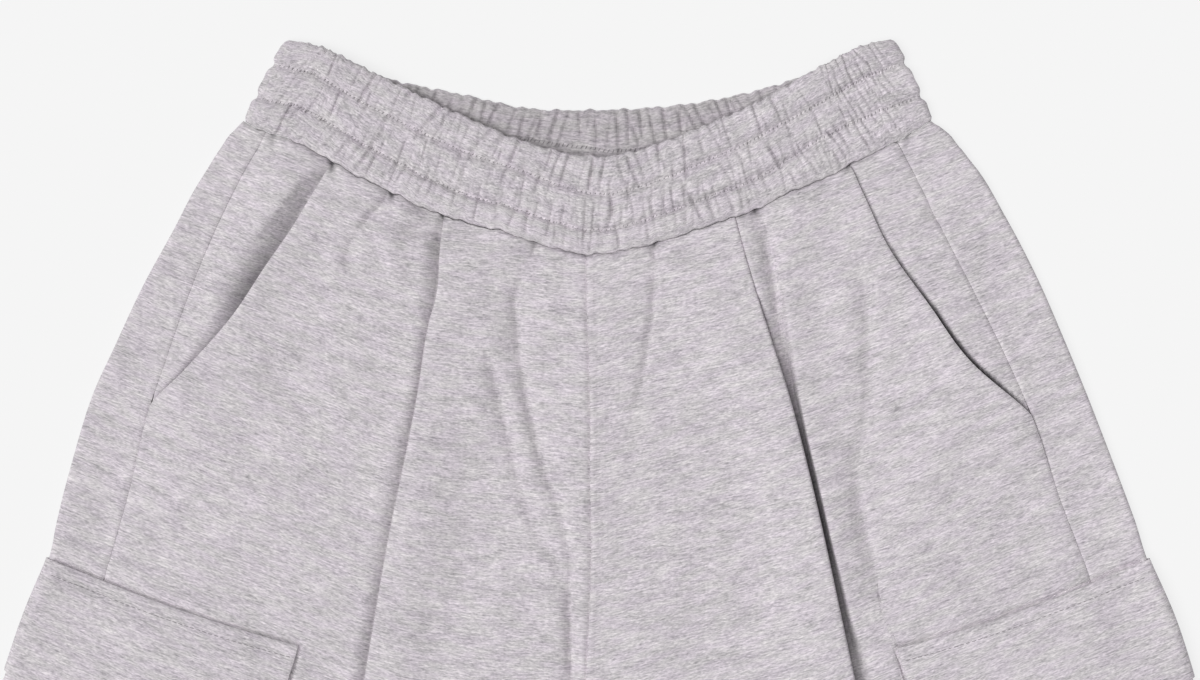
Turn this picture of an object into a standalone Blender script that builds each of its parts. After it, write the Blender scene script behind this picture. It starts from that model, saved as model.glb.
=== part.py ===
"""Casual cargo shorts of sweat fabric, laid flat on a surface with the front up.

The waist points to +Y, the hems to -Y, the wearer's left leg to +X and the front to +Z.
Each sheet of cloth is a grid, bent on to the surface worked out below, with a Solidify
modifier for its wall. Lengths are in metres.
"""

import math
import random
from collections import namedtuple

import bmesh
import bpy
from mathutils import Vector

NAME = "casual_shorts"

# Cloth and how its layers lie on each other.
CLOTH = 0.0012
GAP = 0.0003
LAYER = CLOTH + GAP
BACK_LEVEL = CLOTH / 2
FRONT_LEVEL = 0.0025
FOLD_RADIUS = 0.0024
SETTLE_WIDTH = 0.035
SEAM_LIFT = 0.0018
SEAM_LIFT_LENGTH = 0.045
INSEAM_WIDTH = 0.012

# Cloth grids.
TURN_STEPS = 5
PLEAT_TURN_STEPS = 3
PLEAT_RISE = 0.032
PLEAT_MARGIN = 0.003
PLEAT_EASE = 0.020
RIM_WIDTH = 0.018
GRID_ROWS = (
    0.0, 0.016, 0.033, 0.057, 0.080, 0.103, 0.123, 0.142, 0.158, 0.174, 0.190, 0.206, 0.230,
    0.255, 0.277, 0.295, 0.319, 0.343, 0.361, 0.402, 0.443, 0.484, 0.504, 0.539, 0.574,
)

# Slanted front pockets.
FACING_OVERLAP = 0.022
FACING_END = 0.190
FACING_FADE = 0.206
GAPE_WIDTH = 0.018

# Cargo pockets and their flaps, measured down and in from the side seam.
FLAP_TOP = 0.277
POCKET_TOP = 0.295
FLAP_END = 0.343
POCKET_END = 0.484
FLAP_REACH = 0.113
POCKET_REACH = 0.111
WRAP_UNDER = 0.045
STACK_STEPS = (
    (0.255, 0.0),
    (FLAP_TOP, 1.0),
    (POCKET_TOP, 2.0),
    (FLAP_END, 2.0),
    (0.361, 1.0),
    (POCKET_END, 1.0),
    (0.504, 0.0),
)
STACK_PLATEAU = 0.055
STACK_EASE = 0.080

# Elastic waistband: a flat tube with three puffed channels and gathers between two rows of sewing.
BAND_WALL = 0.003
BAND_FRONT_LEVEL = 0.0048
BAND_BACK_LEVEL = 0.0015
BAND_TURN_STEPS = 4
FRONT_GATHERS = 46
BACK_GATHERS = 36
GATHER_JITTER = 0.28
GATHER_SEED = 11

# The shorts' own stations, from the waist seam to the hem: how far down the side seam they are,
# where the centre seam is, how much higher the back is there, and half the gap between the legs.
Station = namedtuple("Station", "name down centre_across centre_up back_rise leg_spread")
STATIONS = (
    Station("waist seam", 0.000, -0.0065, 0.1920, 0.0260, 0.0000),
    Station("pocket, high", 0.033, -0.0065, 0.1710, 0.0240, 0.0000),
    Station("pocket, upper", 0.066, -0.0060, 0.1490, 0.0215, 0.0000),
    Station("pocket, middle", 0.103, -0.0050, 0.1235, 0.0185, 0.0000),
    Station("pocket, lower", 0.142, -0.0045, 0.0945, 0.0165, 0.0000),
    Station("pocket end", 0.174, -0.0045, 0.0655, 0.0140, 0.0000),
    Station("hip", 0.230, -0.0040, 0.0075, 0.0080, 0.0000),
    Station("flap line", 0.277, -0.0070, -0.0565, 0.0025, 0.0000),
    Station("crotch", 0.311, -0.0085, -0.0760, 0.0000, 0.0000),
    Station("flap hem", 0.347, -0.0085, -0.1145, 0.0000, 0.0045),
    Station("thigh", 0.422, -0.0085, -0.1870, 0.0000, 0.0120),
    Station("pocket base", 0.484, -0.0085, -0.2420, 0.0000, 0.0170),
    Station("hem", 0.574, -0.0090, -0.3175, 0.0000, 0.0220),
)
CROTCH_DOWN = 0.311

# One line for each station and side: the outer fold, the side seam, how far in from it the pocket
# opening is, the pleat's edge and depth, the soft rim beside the pleat, and how far the pocket gapes.
Line = namedtuple(
    "Line",
    "edge_out edge_up side_out side_up opening pleat_out pleat_up depth rim_gap rim_rise gape",
)
RIGHT_LINES = (
    Line(0.2035, 0.2680, 0.1925, 0.2605, 0.0390, 0.0895, 0.2125, 0.022, 0.010, 0.0000, 0.0000),
    Line(0.2290, 0.2365, 0.2110, 0.2275, 0.0390, 0.0915, 0.1930, 0.021, 0.010, 0.0004, 0.0008),
    Line(0.2465, 0.2045, 0.2260, 0.1955, 0.0350, 0.0930, 0.1700, 0.020, 0.010, 0.0006, 0.0016),
    Line(0.2640, 0.1725, 0.2390, 0.1625, 0.0280, 0.0990, 0.1450, 0.019, 0.010, 0.0006, 0.0020),
    Line(0.2815, 0.1350, 0.2515, 0.1260, 0.0120, 0.1045, 0.1090, 0.018, 0.010, 0.0004, 0.0012),
    Line(0.2925, 0.1110, 0.2595, 0.1025, 0.0000, 0.1095, 0.0830, 0.017, 0.010, 0.0004, 0.0000),
    Line(0.3085, 0.0585, 0.2730, 0.0495, 0.0000, 0.1220, 0.0220, 0.015, 0.010, 0.0004, 0.0000),
    Line(0.3200, 0.0150, 0.2865, 0.0015, 0.0000, 0.1335, -0.0450, 0.014, 0.010, 0.0004, 0.0000),
    Line(0.3330, -0.0170, 0.2945, -0.0295, 0.0000, 0.1380, -0.0710, 0.013, 0.010, 0.0004, 0.0000),
    Line(0.3455, -0.0540, 0.3045, -0.0645, 0.0000, 0.1440, -0.1075, 0.012, 0.010, 0.0004, 0.0000),
    Line(0.3650, -0.1270, 0.3215, -0.1375, 0.0000, 0.1565, -0.1780, 0.010, 0.010, 0.0003, 0.0000),
    Line(0.3770, -0.1895, 0.3340, -0.1985, 0.0000, 0.1625, -0.2330, 0.009, 0.010, 0.0002, 0.0000),
    Line(0.3920, -0.2790, 0.3505, -0.2870, 0.0000, 0.1710, -0.3070, 0.008, 0.010, 0.0000, 0.0000),
)
LEFT_LINES = (
    Line(0.1920, 0.2690, 0.1735, 0.2545, 0.0280, 0.0795, 0.2100, 0.022, 0.012, 0.0006, 0.0000),
    Line(0.2185, 0.2420, 0.1870, 0.2295, 0.0300, 0.0855, 0.1885, 0.021, 0.016, 0.0010, 0.0002),
    Line(0.2365, 0.2125, 0.2005, 0.2020, 0.0310, 0.0920, 0.1670, 0.020, 0.014, 0.0012, 0.0003),
    Line(0.2545, 0.1780, 0.2180, 0.1680, 0.0270, 0.1000, 0.1420, 0.019, 0.010, 0.0014, 0.0003),
    Line(0.2695, 0.1435, 0.2355, 0.1320, 0.0190, 0.1110, 0.1075, 0.018, 0.006, 0.0018, 0.0002),
    Line(0.2830, 0.1110, 0.2510, 0.0970, 0.0000, 0.1175, 0.0830, 0.017, 0.005, 0.0022, 0.0000),
    Line(0.3020, 0.0620, 0.2680, 0.0480, 0.0000, 0.1310, 0.0260, 0.015, 0.004, 0.0026, 0.0000),
    Line(0.3200, 0.0145, 0.2860, 0.0000, 0.0000, 0.1460, -0.0435, 0.014, 0.007, 0.0024, 0.0000),
    Line(0.3350, -0.0205, 0.2950, -0.0330, 0.0000, 0.1520, -0.0710, 0.013, 0.010, 0.0020, 0.0000),
    Line(0.3470, -0.0580, 0.3050, -0.0680, 0.0000, 0.1595, -0.1085, 0.012, 0.012, 0.0016, 0.0000),
    Line(0.3655, -0.1315, 0.3215, -0.1410, 0.0000, 0.1710, -0.1780, 0.010, 0.012, 0.0010, 0.0000),
    Line(0.3770, -0.1925, 0.3330, -0.2015, 0.0000, 0.1765, -0.2330, 0.009, 0.012, 0.0006, 0.0000),
    Line(0.3920, -0.2815, 0.3490, -0.2905, 0.0000, 0.1845, -0.3080, 0.008, 0.012, 0.0002, 0.0000),
)

# Waistband, from the wearer's right fold (-1) to the left one (+1): where its gathers leave the
# waist seam and where they reach the top edge, on the front and on the back.
Gore = namedtuple("Gore", "along seam_across front_across front_up back_across back_up")
BAND_GORES = (
    Gore(-1.000, -0.2035, -0.1810, 0.3150, -0.1805, 0.3145),
    Gore(-0.667, -0.1530, -0.1370, 0.2995, -0.1345, 0.2970),
    Gore(-0.333, -0.0880, -0.0795, 0.2715, -0.0740, 0.2825),
    Gore(0.000, -0.0065, -0.0045, 0.2475, -0.0045, 0.2745),
    Gore(0.333, 0.0785, 0.0720, 0.2695, 0.0650, 0.2800),
    Gore(0.667, 0.1435, 0.1300, 0.3000, 0.1270, 0.2975),
    Gore(1.000, 0.1920, 0.1710, 0.3155, 0.1705, 0.3150),
)

# Section through the band's wall, once round it: how far up the band, how far out from the middle
# of the wall, and how deep the gathers cut there.
Section = namedtuple("Section", "up out gather")
BAND_SECTION = (
    Section(0.000, 0.0010, 0.0003),
    Section(0.165, 0.0019, 0.0007),
    Section(0.335, 0.0012, 0.0005),
    Section(0.500, 0.0020, 0.0008),
    Section(0.665, 0.0012, 0.0005),
    Section(0.840, 0.0020, 0.0008),
    Section(0.975, 0.0013, 0.0005),
    Section(1.000, 0.0000, 0.0000),
    Section(0.975, -0.0011, -0.0003),
    Section(0.665, -0.0014, -0.0005),
    Section(0.000, -0.0014, 0.0000),
)

PALE_HEATHER = (0.578, 0.539, 0.571, 1.0)
DEEP_HEATHER = (0.515, 0.478, 0.508, 1.0)


def ease(share):
    """A soft step from 0 to 1."""
    share = min(1.0, max(0.0, share))
    return share * share * (3 - 2 * share)


def blend(knots, values, at):
    """The value at a place on the broken line through the knots."""
    if at <= knots[0]:
        return values[0]
    for low in range(len(knots) - 1):
        if at <= knots[low + 1]:
            share = (at - knots[low]) / (knots[low + 1] - knots[low])
            return values[low] + (values[low + 1] - values[low]) * share
    return values[-1]


def smooth(knots, values, at, first_slope=None):
    """The value at a place on the smooth curve through the knots, which runs on straight past them."""
    slopes = [(values[i + 1] - values[i]) / (knots[i + 1] - knots[i]) for i in range(len(knots) - 1)]
    tangents = [slopes[0] if first_slope is None else first_slope]
    for i in range(1, len(slopes)):
        before = knots[i] - knots[i - 1]
        after = knots[i + 1] - knots[i]
        tangents.append((slopes[i - 1] * after + slopes[i] * before) / (before + after))
    tangents.append(slopes[-1])
    if at <= knots[0]:
        return values[0] + tangents[0] * (at - knots[0])
    if at >= knots[-1]:
        return values[-1] + tangents[-1] * (at - knots[-1])
    low = max(i for i in range(len(slopes)) if at >= knots[i])
    span = knots[low + 1] - knots[low]
    t = (at - knots[low]) / span
    start = (1 + 2 * t) * (1 - t) ** 2 * values[low] + t * (1 - t) ** 2 * span * tangents[low]
    end = t * t * (3 - 2 * t) * values[low + 1] - t * t * (1 - t) * span * tangents[low + 1]
    return start + end


DOWNS = [station.down for station in STATIONS]


def station_value(column, down):
    """A smooth value of the stations' table at a distance down the side seam."""
    return smooth(DOWNS, [getattr(station, column) for station in STATIONS], down)


def leg_spread(down):
    """Half the gap between the legs."""
    return blend(DOWNS, [station.leg_spread for station in STATIONS], down)


def stack(down):
    """How many layers of pocket and flap lie under the leg's outer fold."""
    return blend([step[0] for step in STACK_STEPS], [step[1] for step in STACK_STEPS], down)


class Leg:
    """One half of the shorts. Distances out are from the middle of the shorts towards its side."""

    def __init__(self, name, outward, lines):
        self.name = name
        self.outward = outward
        self.lines = lines

    def curve(self, column, down):
        """A smooth value of the leg's table at a distance down the side seam."""
        return smooth(DOWNS, [getattr(line, column) for line in self.lines], down)

    def chord(self, column, down):
        """A value of the leg's table on straight lines between its stations."""
        return blend(DOWNS, [getattr(line, column) for line in self.lines], down)

    def inner_out(self, down):
        """Where the centre seam, or below the crotch the inseam, is."""
        return self.outward * station_value("centre_across", down) + leg_spread(down)

    def fold_out(self, down):
        """Where the outer fold starts to turn."""
        return self.curve("edge_out", down) - FOLD_RADIUS - CLOTH / 2 - stack(down) * LAYER

    def opening_out(self, down):
        """The front's outer edge: the pocket opening, and below it the side seam."""
        return self.curve("side_out", down) - max(self.chord("opening", down), GAP / 2)

    def row_up(self, out, down):
        """How high up a crosswise thread of the front is at a distance out."""
        inner = self.inner_out(down)
        centre_up = station_value("centre_up", down)
        outs = [inner, self.curve("pleat_out", down), self.curve("side_out", down), self.curve("edge_out", down)]
        ups = [
            centre_up,
            self.curve("pleat_up", down),
            self.curve("side_up", down),
            self.curve("edge_up", down),
        ]
        below_crotch = ease((down - CROTCH_DOWN) / 0.1)
        return smooth(outs, ups, out, below_crotch * (ups[1] - ups[0]) / (outs[1] - outs[0]))

    def back_up(self, out, down):
        """The same on the back, which rises towards its centre seam."""
        fold = self.fold_out(down)
        share = max(0.0, (fold - out) / (fold - self.inner_out(down)))
        return self.row_up(out, down) + station_value("back_rise", down) * share * share

    def back_seam_up(self, out):
        """How high up the back's top edge is, which runs straight between the columns of its grid."""
        outs = sorted({point[0] for point in self.back_path(0.0)[4 + TURN_STEPS:]})
        return blend(outs, [self.back_up(column_out, 0.0) for column_out in outs], out)

    def pleat_share(self, out, down):
        """1 over the pleat's layers and 0 away from them."""
        pleat = self.curve("pleat_out", down)
        inside = pleat - self.chord("depth", down) - PLEAT_MARGIN
        outside = pleat + self.chord("rim_gap", down)
        return ease((out - inside + PLEAT_EASE) / PLEAT_EASE) * ease((outside + PLEAT_EASE - out) / PLEAT_EASE)

    def top_level(self, out, down):
        """Middle of the upper cloth where it lies flat, and where it comes down from the outer fold."""
        lift = SEAM_LIFT * (1 - ease(down / SEAM_LIFT_LENGTH)) * (1 - self.pleat_share(out, down))
        fold = self.fold_out(down)
        plateau = ease((out - fold + STACK_PLATEAU + STACK_EASE) / STACK_EASE)
        level = FRONT_LEVEL + lift + stack(down) * LAYER * plateau
        crest = BACK_LEVEL + 2 * FOLD_RADIUS + stack(down) * LAYER
        return level + (crest - level) * (1 - ease((fold - out) / SETTLE_WIDTH))

    def front_level(self, out, down):
        """Middle of the front's cloth, which passes over the pocket facing."""
        opening = self.opening_out(down)
        over = ease((out - opening + FACING_OVERLAP + 0.038) / 0.030)
        over *= 1 - ease((down - FACING_END) / (FACING_FADE - FACING_END))
        gape = self.chord("gape", down) * ease((out - opening + GAPE_WIDTH) / GAPE_WIDTH)
        inseam = ease((down - CROTCH_DOWN) / 0.05) * (1 - ease((out - self.inner_out(down)) / INSEAM_WIDTH))
        drop = (FRONT_LEVEL - BACK_LEVEL - LAYER) * inseam
        return self.top_level(out, down) + LAYER * over + gape - drop

    def place(self, out, up, level):
        """A point of this leg in the shorts' own frame."""
        return Vector((self.outward * out, up, level))

    def front_path(self, down):
        """(out, level) round the front from the centre seam, through the pleat, to its outer edge."""
        inner = self.inner_out(down) + GAP / 2
        pleat = self.curve("pleat_out", down)
        depth = self.chord("depth", down)
        radius = LAYER / 2
        turn = pleat - CLOTH / 2 - radius
        hidden_turn = pleat - depth + CLOTH / 2 + radius
        full = pleat - depth - PLEAT_MARGIN
        start = max(full - PLEAT_RISE, inner + 0.01)
        path = []
        for out in (inner, (inner + start) / 2, start, start + 0.45 * (full - start), full, turn):
            rise = 2 * LAYER * ease((out - start) / (full - start))
            path.append((out, self.front_level(out, down) + rise))
        for step in range(1, PLEAT_TURN_STEPS + 1):
            angle = math.pi * (0.5 - step / PLEAT_TURN_STEPS)
            out = turn + radius * math.cos(angle)
            path.append((out, self.front_level(out, down) + 1.5 * LAYER + radius * math.sin(angle)))
        path.append((hidden_turn, self.front_level(hidden_turn, down) + LAYER))
        for step in range(1, PLEAT_TURN_STEPS + 1):
            angle = math.pi * (0.5 + step / PLEAT_TURN_STEPS)
            out = hidden_turn + radius * math.cos(angle)
            path.append((out, self.front_level(out, down) + 0.5 * LAYER + radius * math.sin(angle)))
        crest = pleat + self.chord("rim_gap", down)
        foot = crest + RIM_WIDTH
        outer = self.opening_out(down)
        rim = self.chord("rim_rise", down)
        slope = ((pleat - 0.4 * depth, 0.0), (pleat + 0.0005, 0.0), (crest, 1.0), ((crest + foot) / 2, 0.4))
        for out, share in slope:
            path.append((out, self.front_level(out, down) + rim * share))
        for step in range(6):
            out = foot + (outer - foot) * step / 5
            path.append((out, self.front_level(out, down)))
        return path

    def fold_turn(self, down, lift):
        """(out, level) round the outer fold, from its top to its underside, that many layers out."""
        centre = BACK_LEVEL + FOLD_RADIUS + stack(down) * LAYER
        radius = FOLD_RADIUS + lift * LAYER
        points = []
        for step in range(TURN_STEPS + 1):
            angle = math.pi * (0.5 - step / TURN_STEPS)
            points.append((self.fold_out(down) + radius * math.cos(angle), centre + radius * math.sin(angle)))
        return points

    def back_path(self, down):
        """(out, level) round the back from the side seam, about the outer fold, to its centre seam."""
        side = self.curve("side_out", down) + GAP / 2
        fold = self.fold_out(down)
        path = []
        for step in range(4):
            out = side + (fold - side) * step / 4
            path.append((out, self.top_level(out, down)))
        path += self.fold_turn(down, 0)
        step_in = fold - WRAP_UNDER - 0.004
        step_out = step_in - 0.022
        inner = self.inner_out(down) + GAP / 2
        for out in (fold - WRAP_UNDER / 2, step_in, (step_in + step_out) / 2, step_out):
            path.append((out, BACK_LEVEL + stack(down) * LAYER * ease((out - step_out) / (step_in - step_out))))
        for step in range(1, 4):
            path.append((step_out + (inner - step_out) * step / 3, BACK_LEVEL))
        return path

    def facing_path(self, down):
        """(out, level) across the pocket facing, from the side seam to its edge under the front."""
        side = self.curve("side_out", down) - GAP / 2
        hidden = self.opening_out(down) - FACING_OVERLAP
        outs = [side + (hidden - side) * step / 6 for step in range(7)]
        return [(out, self.top_level(out, down)) for out in outs]

    def patch_path(self, down, reach, lift):
        """(out, level) across a pocket or flap, from its front edge, about the fold, to its back edge."""
        side = self.curve("side_out", down)
        fold = self.fold_out(down)
        outs = [side - reach * (1 - step / 5) for step in range(5)]
        outs += [side + (fold - side) * step / 4 for step in range(4)]
        path = [(out, self.top_level(out, down) + lift * LAYER) for out in outs]
        path += self.fold_turn(down, lift)
        under = BACK_LEVEL + (stack(down) - lift) * LAYER
        path += [(fold - WRAP_UNDER / 2, under), (fold - WRAP_UNDER, under)]
        return path


LEGS = (Leg("right", -1.0, RIGHT_LINES), Leg("left", 1.0, LEFT_LINES))


def fabric(name, colour):
    """A dull knitted finish in one colour."""
    material = bpy.data.materials.new(name)
    material.use_nodes = True
    shader = material.node_tree.nodes["Principled BSDF"]
    shader.inputs["Base Color"].default_value = colour
    shader.inputs["Roughness"].default_value = 0.95
    shader.inputs["Metallic"].default_value = 0.0
    material.diffuse_color = colour
    return material


def grid_points(columns, rows):
    """An open grid with its vertices listed by their column and row."""
    sheet = bmesh.new()
    bmesh.ops.create_grid(sheet, x_segments=columns - 1, y_segments=rows - 1, size=0.5)
    places = {}
    for vertex in sheet.verts:
        column = round((vertex.co.x + 0.5) * (columns - 1))
        row = round((vertex.co.y + 0.5) * (rows - 1))
        places[column, row] = vertex
    return sheet, places


def finish(name, sheet, colour, collection):
    """Makes a named object of the modelled mesh."""
    mesh = bpy.data.meshes.new(name)
    sheet.to_mesh(mesh)
    sheet.free()
    mesh.shade_smooth()
    mesh.set_sharp_from_angle(angle=math.radians(50))
    piece = bpy.data.objects.new(name, mesh)
    piece.data.materials.append(fabric(name, colour))
    collection.objects.link(piece)
    return piece


def cloth(name, rows, path_at, up_at, leg, colour, collection):
    """A sheet of cloth: one path of (out, level) for each of the given distances down the leg."""
    paths = [path_at(down) for down in rows]
    sheet, places = grid_points(len(paths[0]), len(rows))
    for (column, row), vertex in places.items():
        out, level = paths[row][column]
        vertex.co = leg.place(out, up_at(out, rows[row], column), level)
    piece = finish(name, sheet, colour, collection)
    wall = piece.modifiers.new("wall", "SOLIDIFY")
    wall.thickness = CLOTH
    wall.offset = 0.0
    return piece


def make_front(leg, collection):
    """Front panel, with its pleat folded in."""
    cloth(
        "front_" + leg.name,
        GRID_ROWS,
        leg.front_path,
        lambda out, down, column: leg.row_up(out, down),
        leg,
        PALE_HEATHER,
        collection,
    )


def make_back(leg, collection):
    """Back panel, which comes round the outer fold to the side seam on the front."""
    upper_columns = 4 + TURN_STEPS // 2 + 1

    def up_at(out, down, column):
        return leg.row_up(out, down) if column < upper_columns else leg.back_up(out, down)

    cloth("back_" + leg.name, GRID_ROWS, leg.back_path, up_at, leg, PALE_HEATHER, collection)


def make_facing(leg, collection):
    """Pocket facing, seen between the pocket opening and the side seam."""
    rows = [down for down in GRID_ROWS if down <= FACING_END]
    cloth(
        "pocket_facing_" + leg.name,
        rows,
        leg.facing_path,
        lambda out, down, column: leg.row_up(out, down),
        leg,
        DEEP_HEATHER,
        collection,
    )


def make_pocket(leg, collection):
    """Cargo pocket: a patch on the side of the leg, under its flap."""
    rows = [down for down in GRID_ROWS if POCKET_TOP <= down <= POCKET_END]
    cloth(
        "cargo_pocket_" + leg.name,
        rows,
        lambda down: leg.patch_path(down, POCKET_REACH, 1.0),
        lambda out, down, column: leg.row_up(out, down),
        leg,
        PALE_HEATHER,
        collection,
    )


def make_flap(leg, collection):
    """Flap, sewn to the leg along its top edge and lying over the pocket."""
    rows = [down for down in GRID_ROWS if FLAP_TOP <= down <= FLAP_END]
    cloth(
        "cargo_flap_" + leg.name,
        rows,
        lambda down: leg.patch_path(down, FLAP_REACH, blend([FLAP_TOP, POCKET_TOP], [1.0, 2.0], down)),
        lambda out, down, column: leg.row_up(out, down),
        leg,
        PALE_HEATHER,
        collection,
    )


def gore_value(column, along):
    """A smooth value of the waistband's table."""
    return smooth([gore.along for gore in BAND_GORES], [getattr(gore, column) for gore in BAND_GORES], along)


def band_point(along, up, front):
    """(across, up) on the band's front or back half."""
    across = gore_value("seam_across", along)
    leg = LEGS[0] if across < station_value("centre_across", 0.0) else LEGS[1]
    out = leg.outward * across
    seam_up = leg.row_up(out, 0.0) if front else leg.back_seam_up(out)
    top_across = gore_value("front_across" if front else "back_across", along)
    top_up = gore_value("front_up" if front else "back_up", along)
    low = Vector((across, seam_up + GAP))
    high = Vector((top_across, top_up))
    return low.lerp(high, up)


def gather_columns(count, reach, chance):
    """Places along one half of the band, from -reach to reach: (along, depth of the gather there)."""
    columns = []
    for index in range(2 * count + 1):
        along = -reach + reach * index / count
        deep = index % 2
        if 0 < index < 2 * count:
            along += chance.uniform(-GATHER_JITTER, GATHER_JITTER) * reach / count
        columns.append((along, deep * chance.uniform(0.5, 1.0)))
    return columns


def band_columns():
    """Once round the band: (along, angle of the wall's normal, depth of the gather)."""
    chance = random.Random(GATHER_SEED)
    reach = 0.979
    front = [(along, math.pi / 2, deep) for along, deep in gather_columns(FRONT_GATHERS, reach, chance)]
    back = [(along, -math.pi / 2, deep) for along, deep in gather_columns(BACK_GATHERS, reach, chance)]
    turn = [math.pi * (0.5 - step / BAND_TURN_STEPS) for step in range(1, BAND_TURN_STEPS)]
    left = [(reach, angle, 0.0) for angle in turn]
    right = [(-reach, angle, 0.0) for angle in reversed(turn)]
    return front + left + back[::-1] + right


def make_waistband(collection):
    """Waistband: one gathered elastic tube, pressed flat."""
    columns = band_columns()
    middle = (BAND_FRONT_LEVEL + BAND_BACK_LEVEL) / 2
    radius = (BAND_FRONT_LEVEL - BAND_BACK_LEVEL) / 2
    sheet, places = grid_points(len(columns) + 1, len(BAND_SECTION) + 1)
    for (column, row), vertex in places.items():
        along, angle, deep = columns[column % len(columns)]
        section = BAND_SECTION[row % len(BAND_SECTION)]
        upper = (1 + math.sin(angle)) / 2
        crest = section.out - section.gather * deep
        flat = min(BAND_WALL / 2, section.out + BAND_WALL) if section.out > 0 else crest
        wall = flat + (crest - flat) * upper
        place = band_point(along, section.up, False).lerp(band_point(along, section.up, True), upper)
        outside = (band_point(math.copysign(1.0, along), section.up, True) - place).normalized()
        place += outside * (radius + wall) * math.cos(angle)
        vertex.co = (place.x, place.y, middle + (radius + wall) * math.sin(angle))
    bmesh.ops.remove_doubles(sheet, verts=sheet.verts, dist=1e-6)
    bmesh.ops.recalc_face_normals(sheet, faces=sheet.faces)
    finish("waistband", sheet, DEEP_HEATHER, collection)


def main():
    """Models the shorts piece by piece."""
    for item in list(bpy.data.objects):
        bpy.data.objects.remove(item)
    collection = bpy.data.collections.new(NAME)
    bpy.context.scene.collection.children.link(collection)
    make_waistband(collection)
    for leg in LEGS:
        make_back(leg, collection)
        make_facing(leg, collection)
        make_front(leg, collection)
        make_pocket(leg, collection)
        make_flap(leg, collection)


main()
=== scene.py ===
"""Looks of casual cargo shorts: pale heather sweat fabric, laid flat and seen from straight above.

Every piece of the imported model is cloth, so each is replaced by a finer sheet on the same lines:
the same seams, pleats, pockets and flaps, with the gathers of the elastic waist, the creases of
worn cloth, rolled edges and sewing. The waist points to +Y, the front to +Z. Lengths are in metres.
"""

import logging
import math
import random
from dataclasses import dataclass, field
from enum import Enum
from typing import ClassVar, NamedTuple, Optional, Sequence

import bmesh
import bpy
import numpy as np
from mathutils import Matrix, Vector


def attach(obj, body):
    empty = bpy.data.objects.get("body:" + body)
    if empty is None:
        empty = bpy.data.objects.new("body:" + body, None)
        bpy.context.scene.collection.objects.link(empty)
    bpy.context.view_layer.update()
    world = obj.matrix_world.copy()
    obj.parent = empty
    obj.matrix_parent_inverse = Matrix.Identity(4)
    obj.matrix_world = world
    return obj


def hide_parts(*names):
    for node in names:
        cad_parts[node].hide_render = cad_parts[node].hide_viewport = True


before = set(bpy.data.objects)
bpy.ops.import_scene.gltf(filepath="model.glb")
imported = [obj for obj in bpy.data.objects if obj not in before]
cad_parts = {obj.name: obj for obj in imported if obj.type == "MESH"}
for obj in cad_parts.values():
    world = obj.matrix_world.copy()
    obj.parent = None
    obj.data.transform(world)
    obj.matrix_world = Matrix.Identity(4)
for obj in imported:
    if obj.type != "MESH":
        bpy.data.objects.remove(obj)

log = logging.getLogger("shorts")

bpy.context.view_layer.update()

# Cloth and how its layers lie on each other.
CLOTH = 0.0012
GAP = 0.0003
LAYER = CLOTH + GAP
BACK_LEVEL = CLOTH / 2
FRONT_LEVEL = 0.0025
FOLD_RADIUS = 0.0024
SETTLE_WIDTH = 0.035
SEAM_LIFT = 0.0026
SEAM_LIFT_LENGTH = 0.045
INSEAM_WIDTH = 0.012
SEAM_TUCK = 0.0016
SEAM_TUCK_LENGTH = 0.004
NOTCH_TUCK = 0.0028
NOTCH_LENGTH = 0.0095
NOTCH_WIDTH = 0.0019
NOTCH_SPREAD = 0.0024
# Painted shade of the waist seam: how much darker the colour is made at its gathers and along it, and how far
# down.
NOTCH_SHADE = 0.85
SEAM_SHADE = 0.22
SEAM_SHADE_LENGTH = 0.0026
SEAM_PULL_LENGTH = 0.05
# Fine ripples of the waist seam: (length, height).
SEAM_RIPPLES = ((0.0071, 0.00022), (0.0113, 0.00026), (0.0187, 0.00030))
RIPPLE_SHIFT = 900
# Gathers of the waist seam: (across, how strong).
SEAM_NOTCHES = (
    (-0.1890, 0.4), (-0.1545, 1.0), (-0.1200, 1.0), (-0.0900, 0.9), (-0.0365, 0.3), (0.0330, 1.0),
    (0.0830, 0.4), (0.0910, 1.0), (0.1450, 0.7), (0.1790, 0.3),
)
SHOULDER_CORNER = 0.0009
SHOULDER_CORNER_LENGTH = 0.006
SHOULDER_HOLD = 0.006
SHOULDER_LENGTH = 0.028

# How far the upper cloth stands off the lower, and over what distances it comes down again.
LOFT = 0.0042
LOFT_SIDE = 0.045
LOFT_WAIST = 0.040
LOFT_INSEAM = 0.040
LOFT_HEM = 0.060
PRESSED = BACK_LEVEL + LAYER

# Pleats.
PLEAT_MARGIN = 0.003
PLEAT_RISE = 0.032
PLEAT_EASE = 0.020
PLEAT_BULGE = 0.0011
RIM_WIDTH = 0.018
CROWN_WIDTH = 0.034

# Slanted front pockets.
FACING_OVERLAP = 0.022
FACING_END = 0.190
FACING_FADE = 0.235
GAPE_WIDTH = 0.026

# Cargo pockets and their flaps, measured down and in from the side seam.
FLAP_TOP = 0.277
POCKET_TOP = 0.295
FLAP_END = 0.343
POCKET_END = 0.484
FLAP_REACH = 0.113
POCKET_REACH = 0.111
WRAP_UNDER = 0.045
STACK_STEPS = (0.255, FLAP_TOP, POCKET_TOP, FLAP_END, 0.361, POCKET_END, 0.504)
STACK_LAYERS = (0.0, 1.0, 2.0, 2.0, 1.0, 1.0, 0.0)
STACK_PLATEAU = 0.055
STACK_EASE = 0.080

CROTCH_DOWN = 0.311
CROTCH_EASE = 0.1
INSEAM_EASE = 0.05
HEM_DOWN = 0.574
BELT_REACH = 0.979
BAND_FRONT_LEVEL = 0.0048
BAND_BACK_LEVEL = 0.0015
BAND_THIN = 0.0005
ROW_GROOVE = 0.0005
INNER_WALL = -0.0014
# Shares of the waistband's section where its rows are sewn, and the share between them.
SEWN_ROWS = (0.335, 0.665)
ROW_SPAN = 0.33

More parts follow.
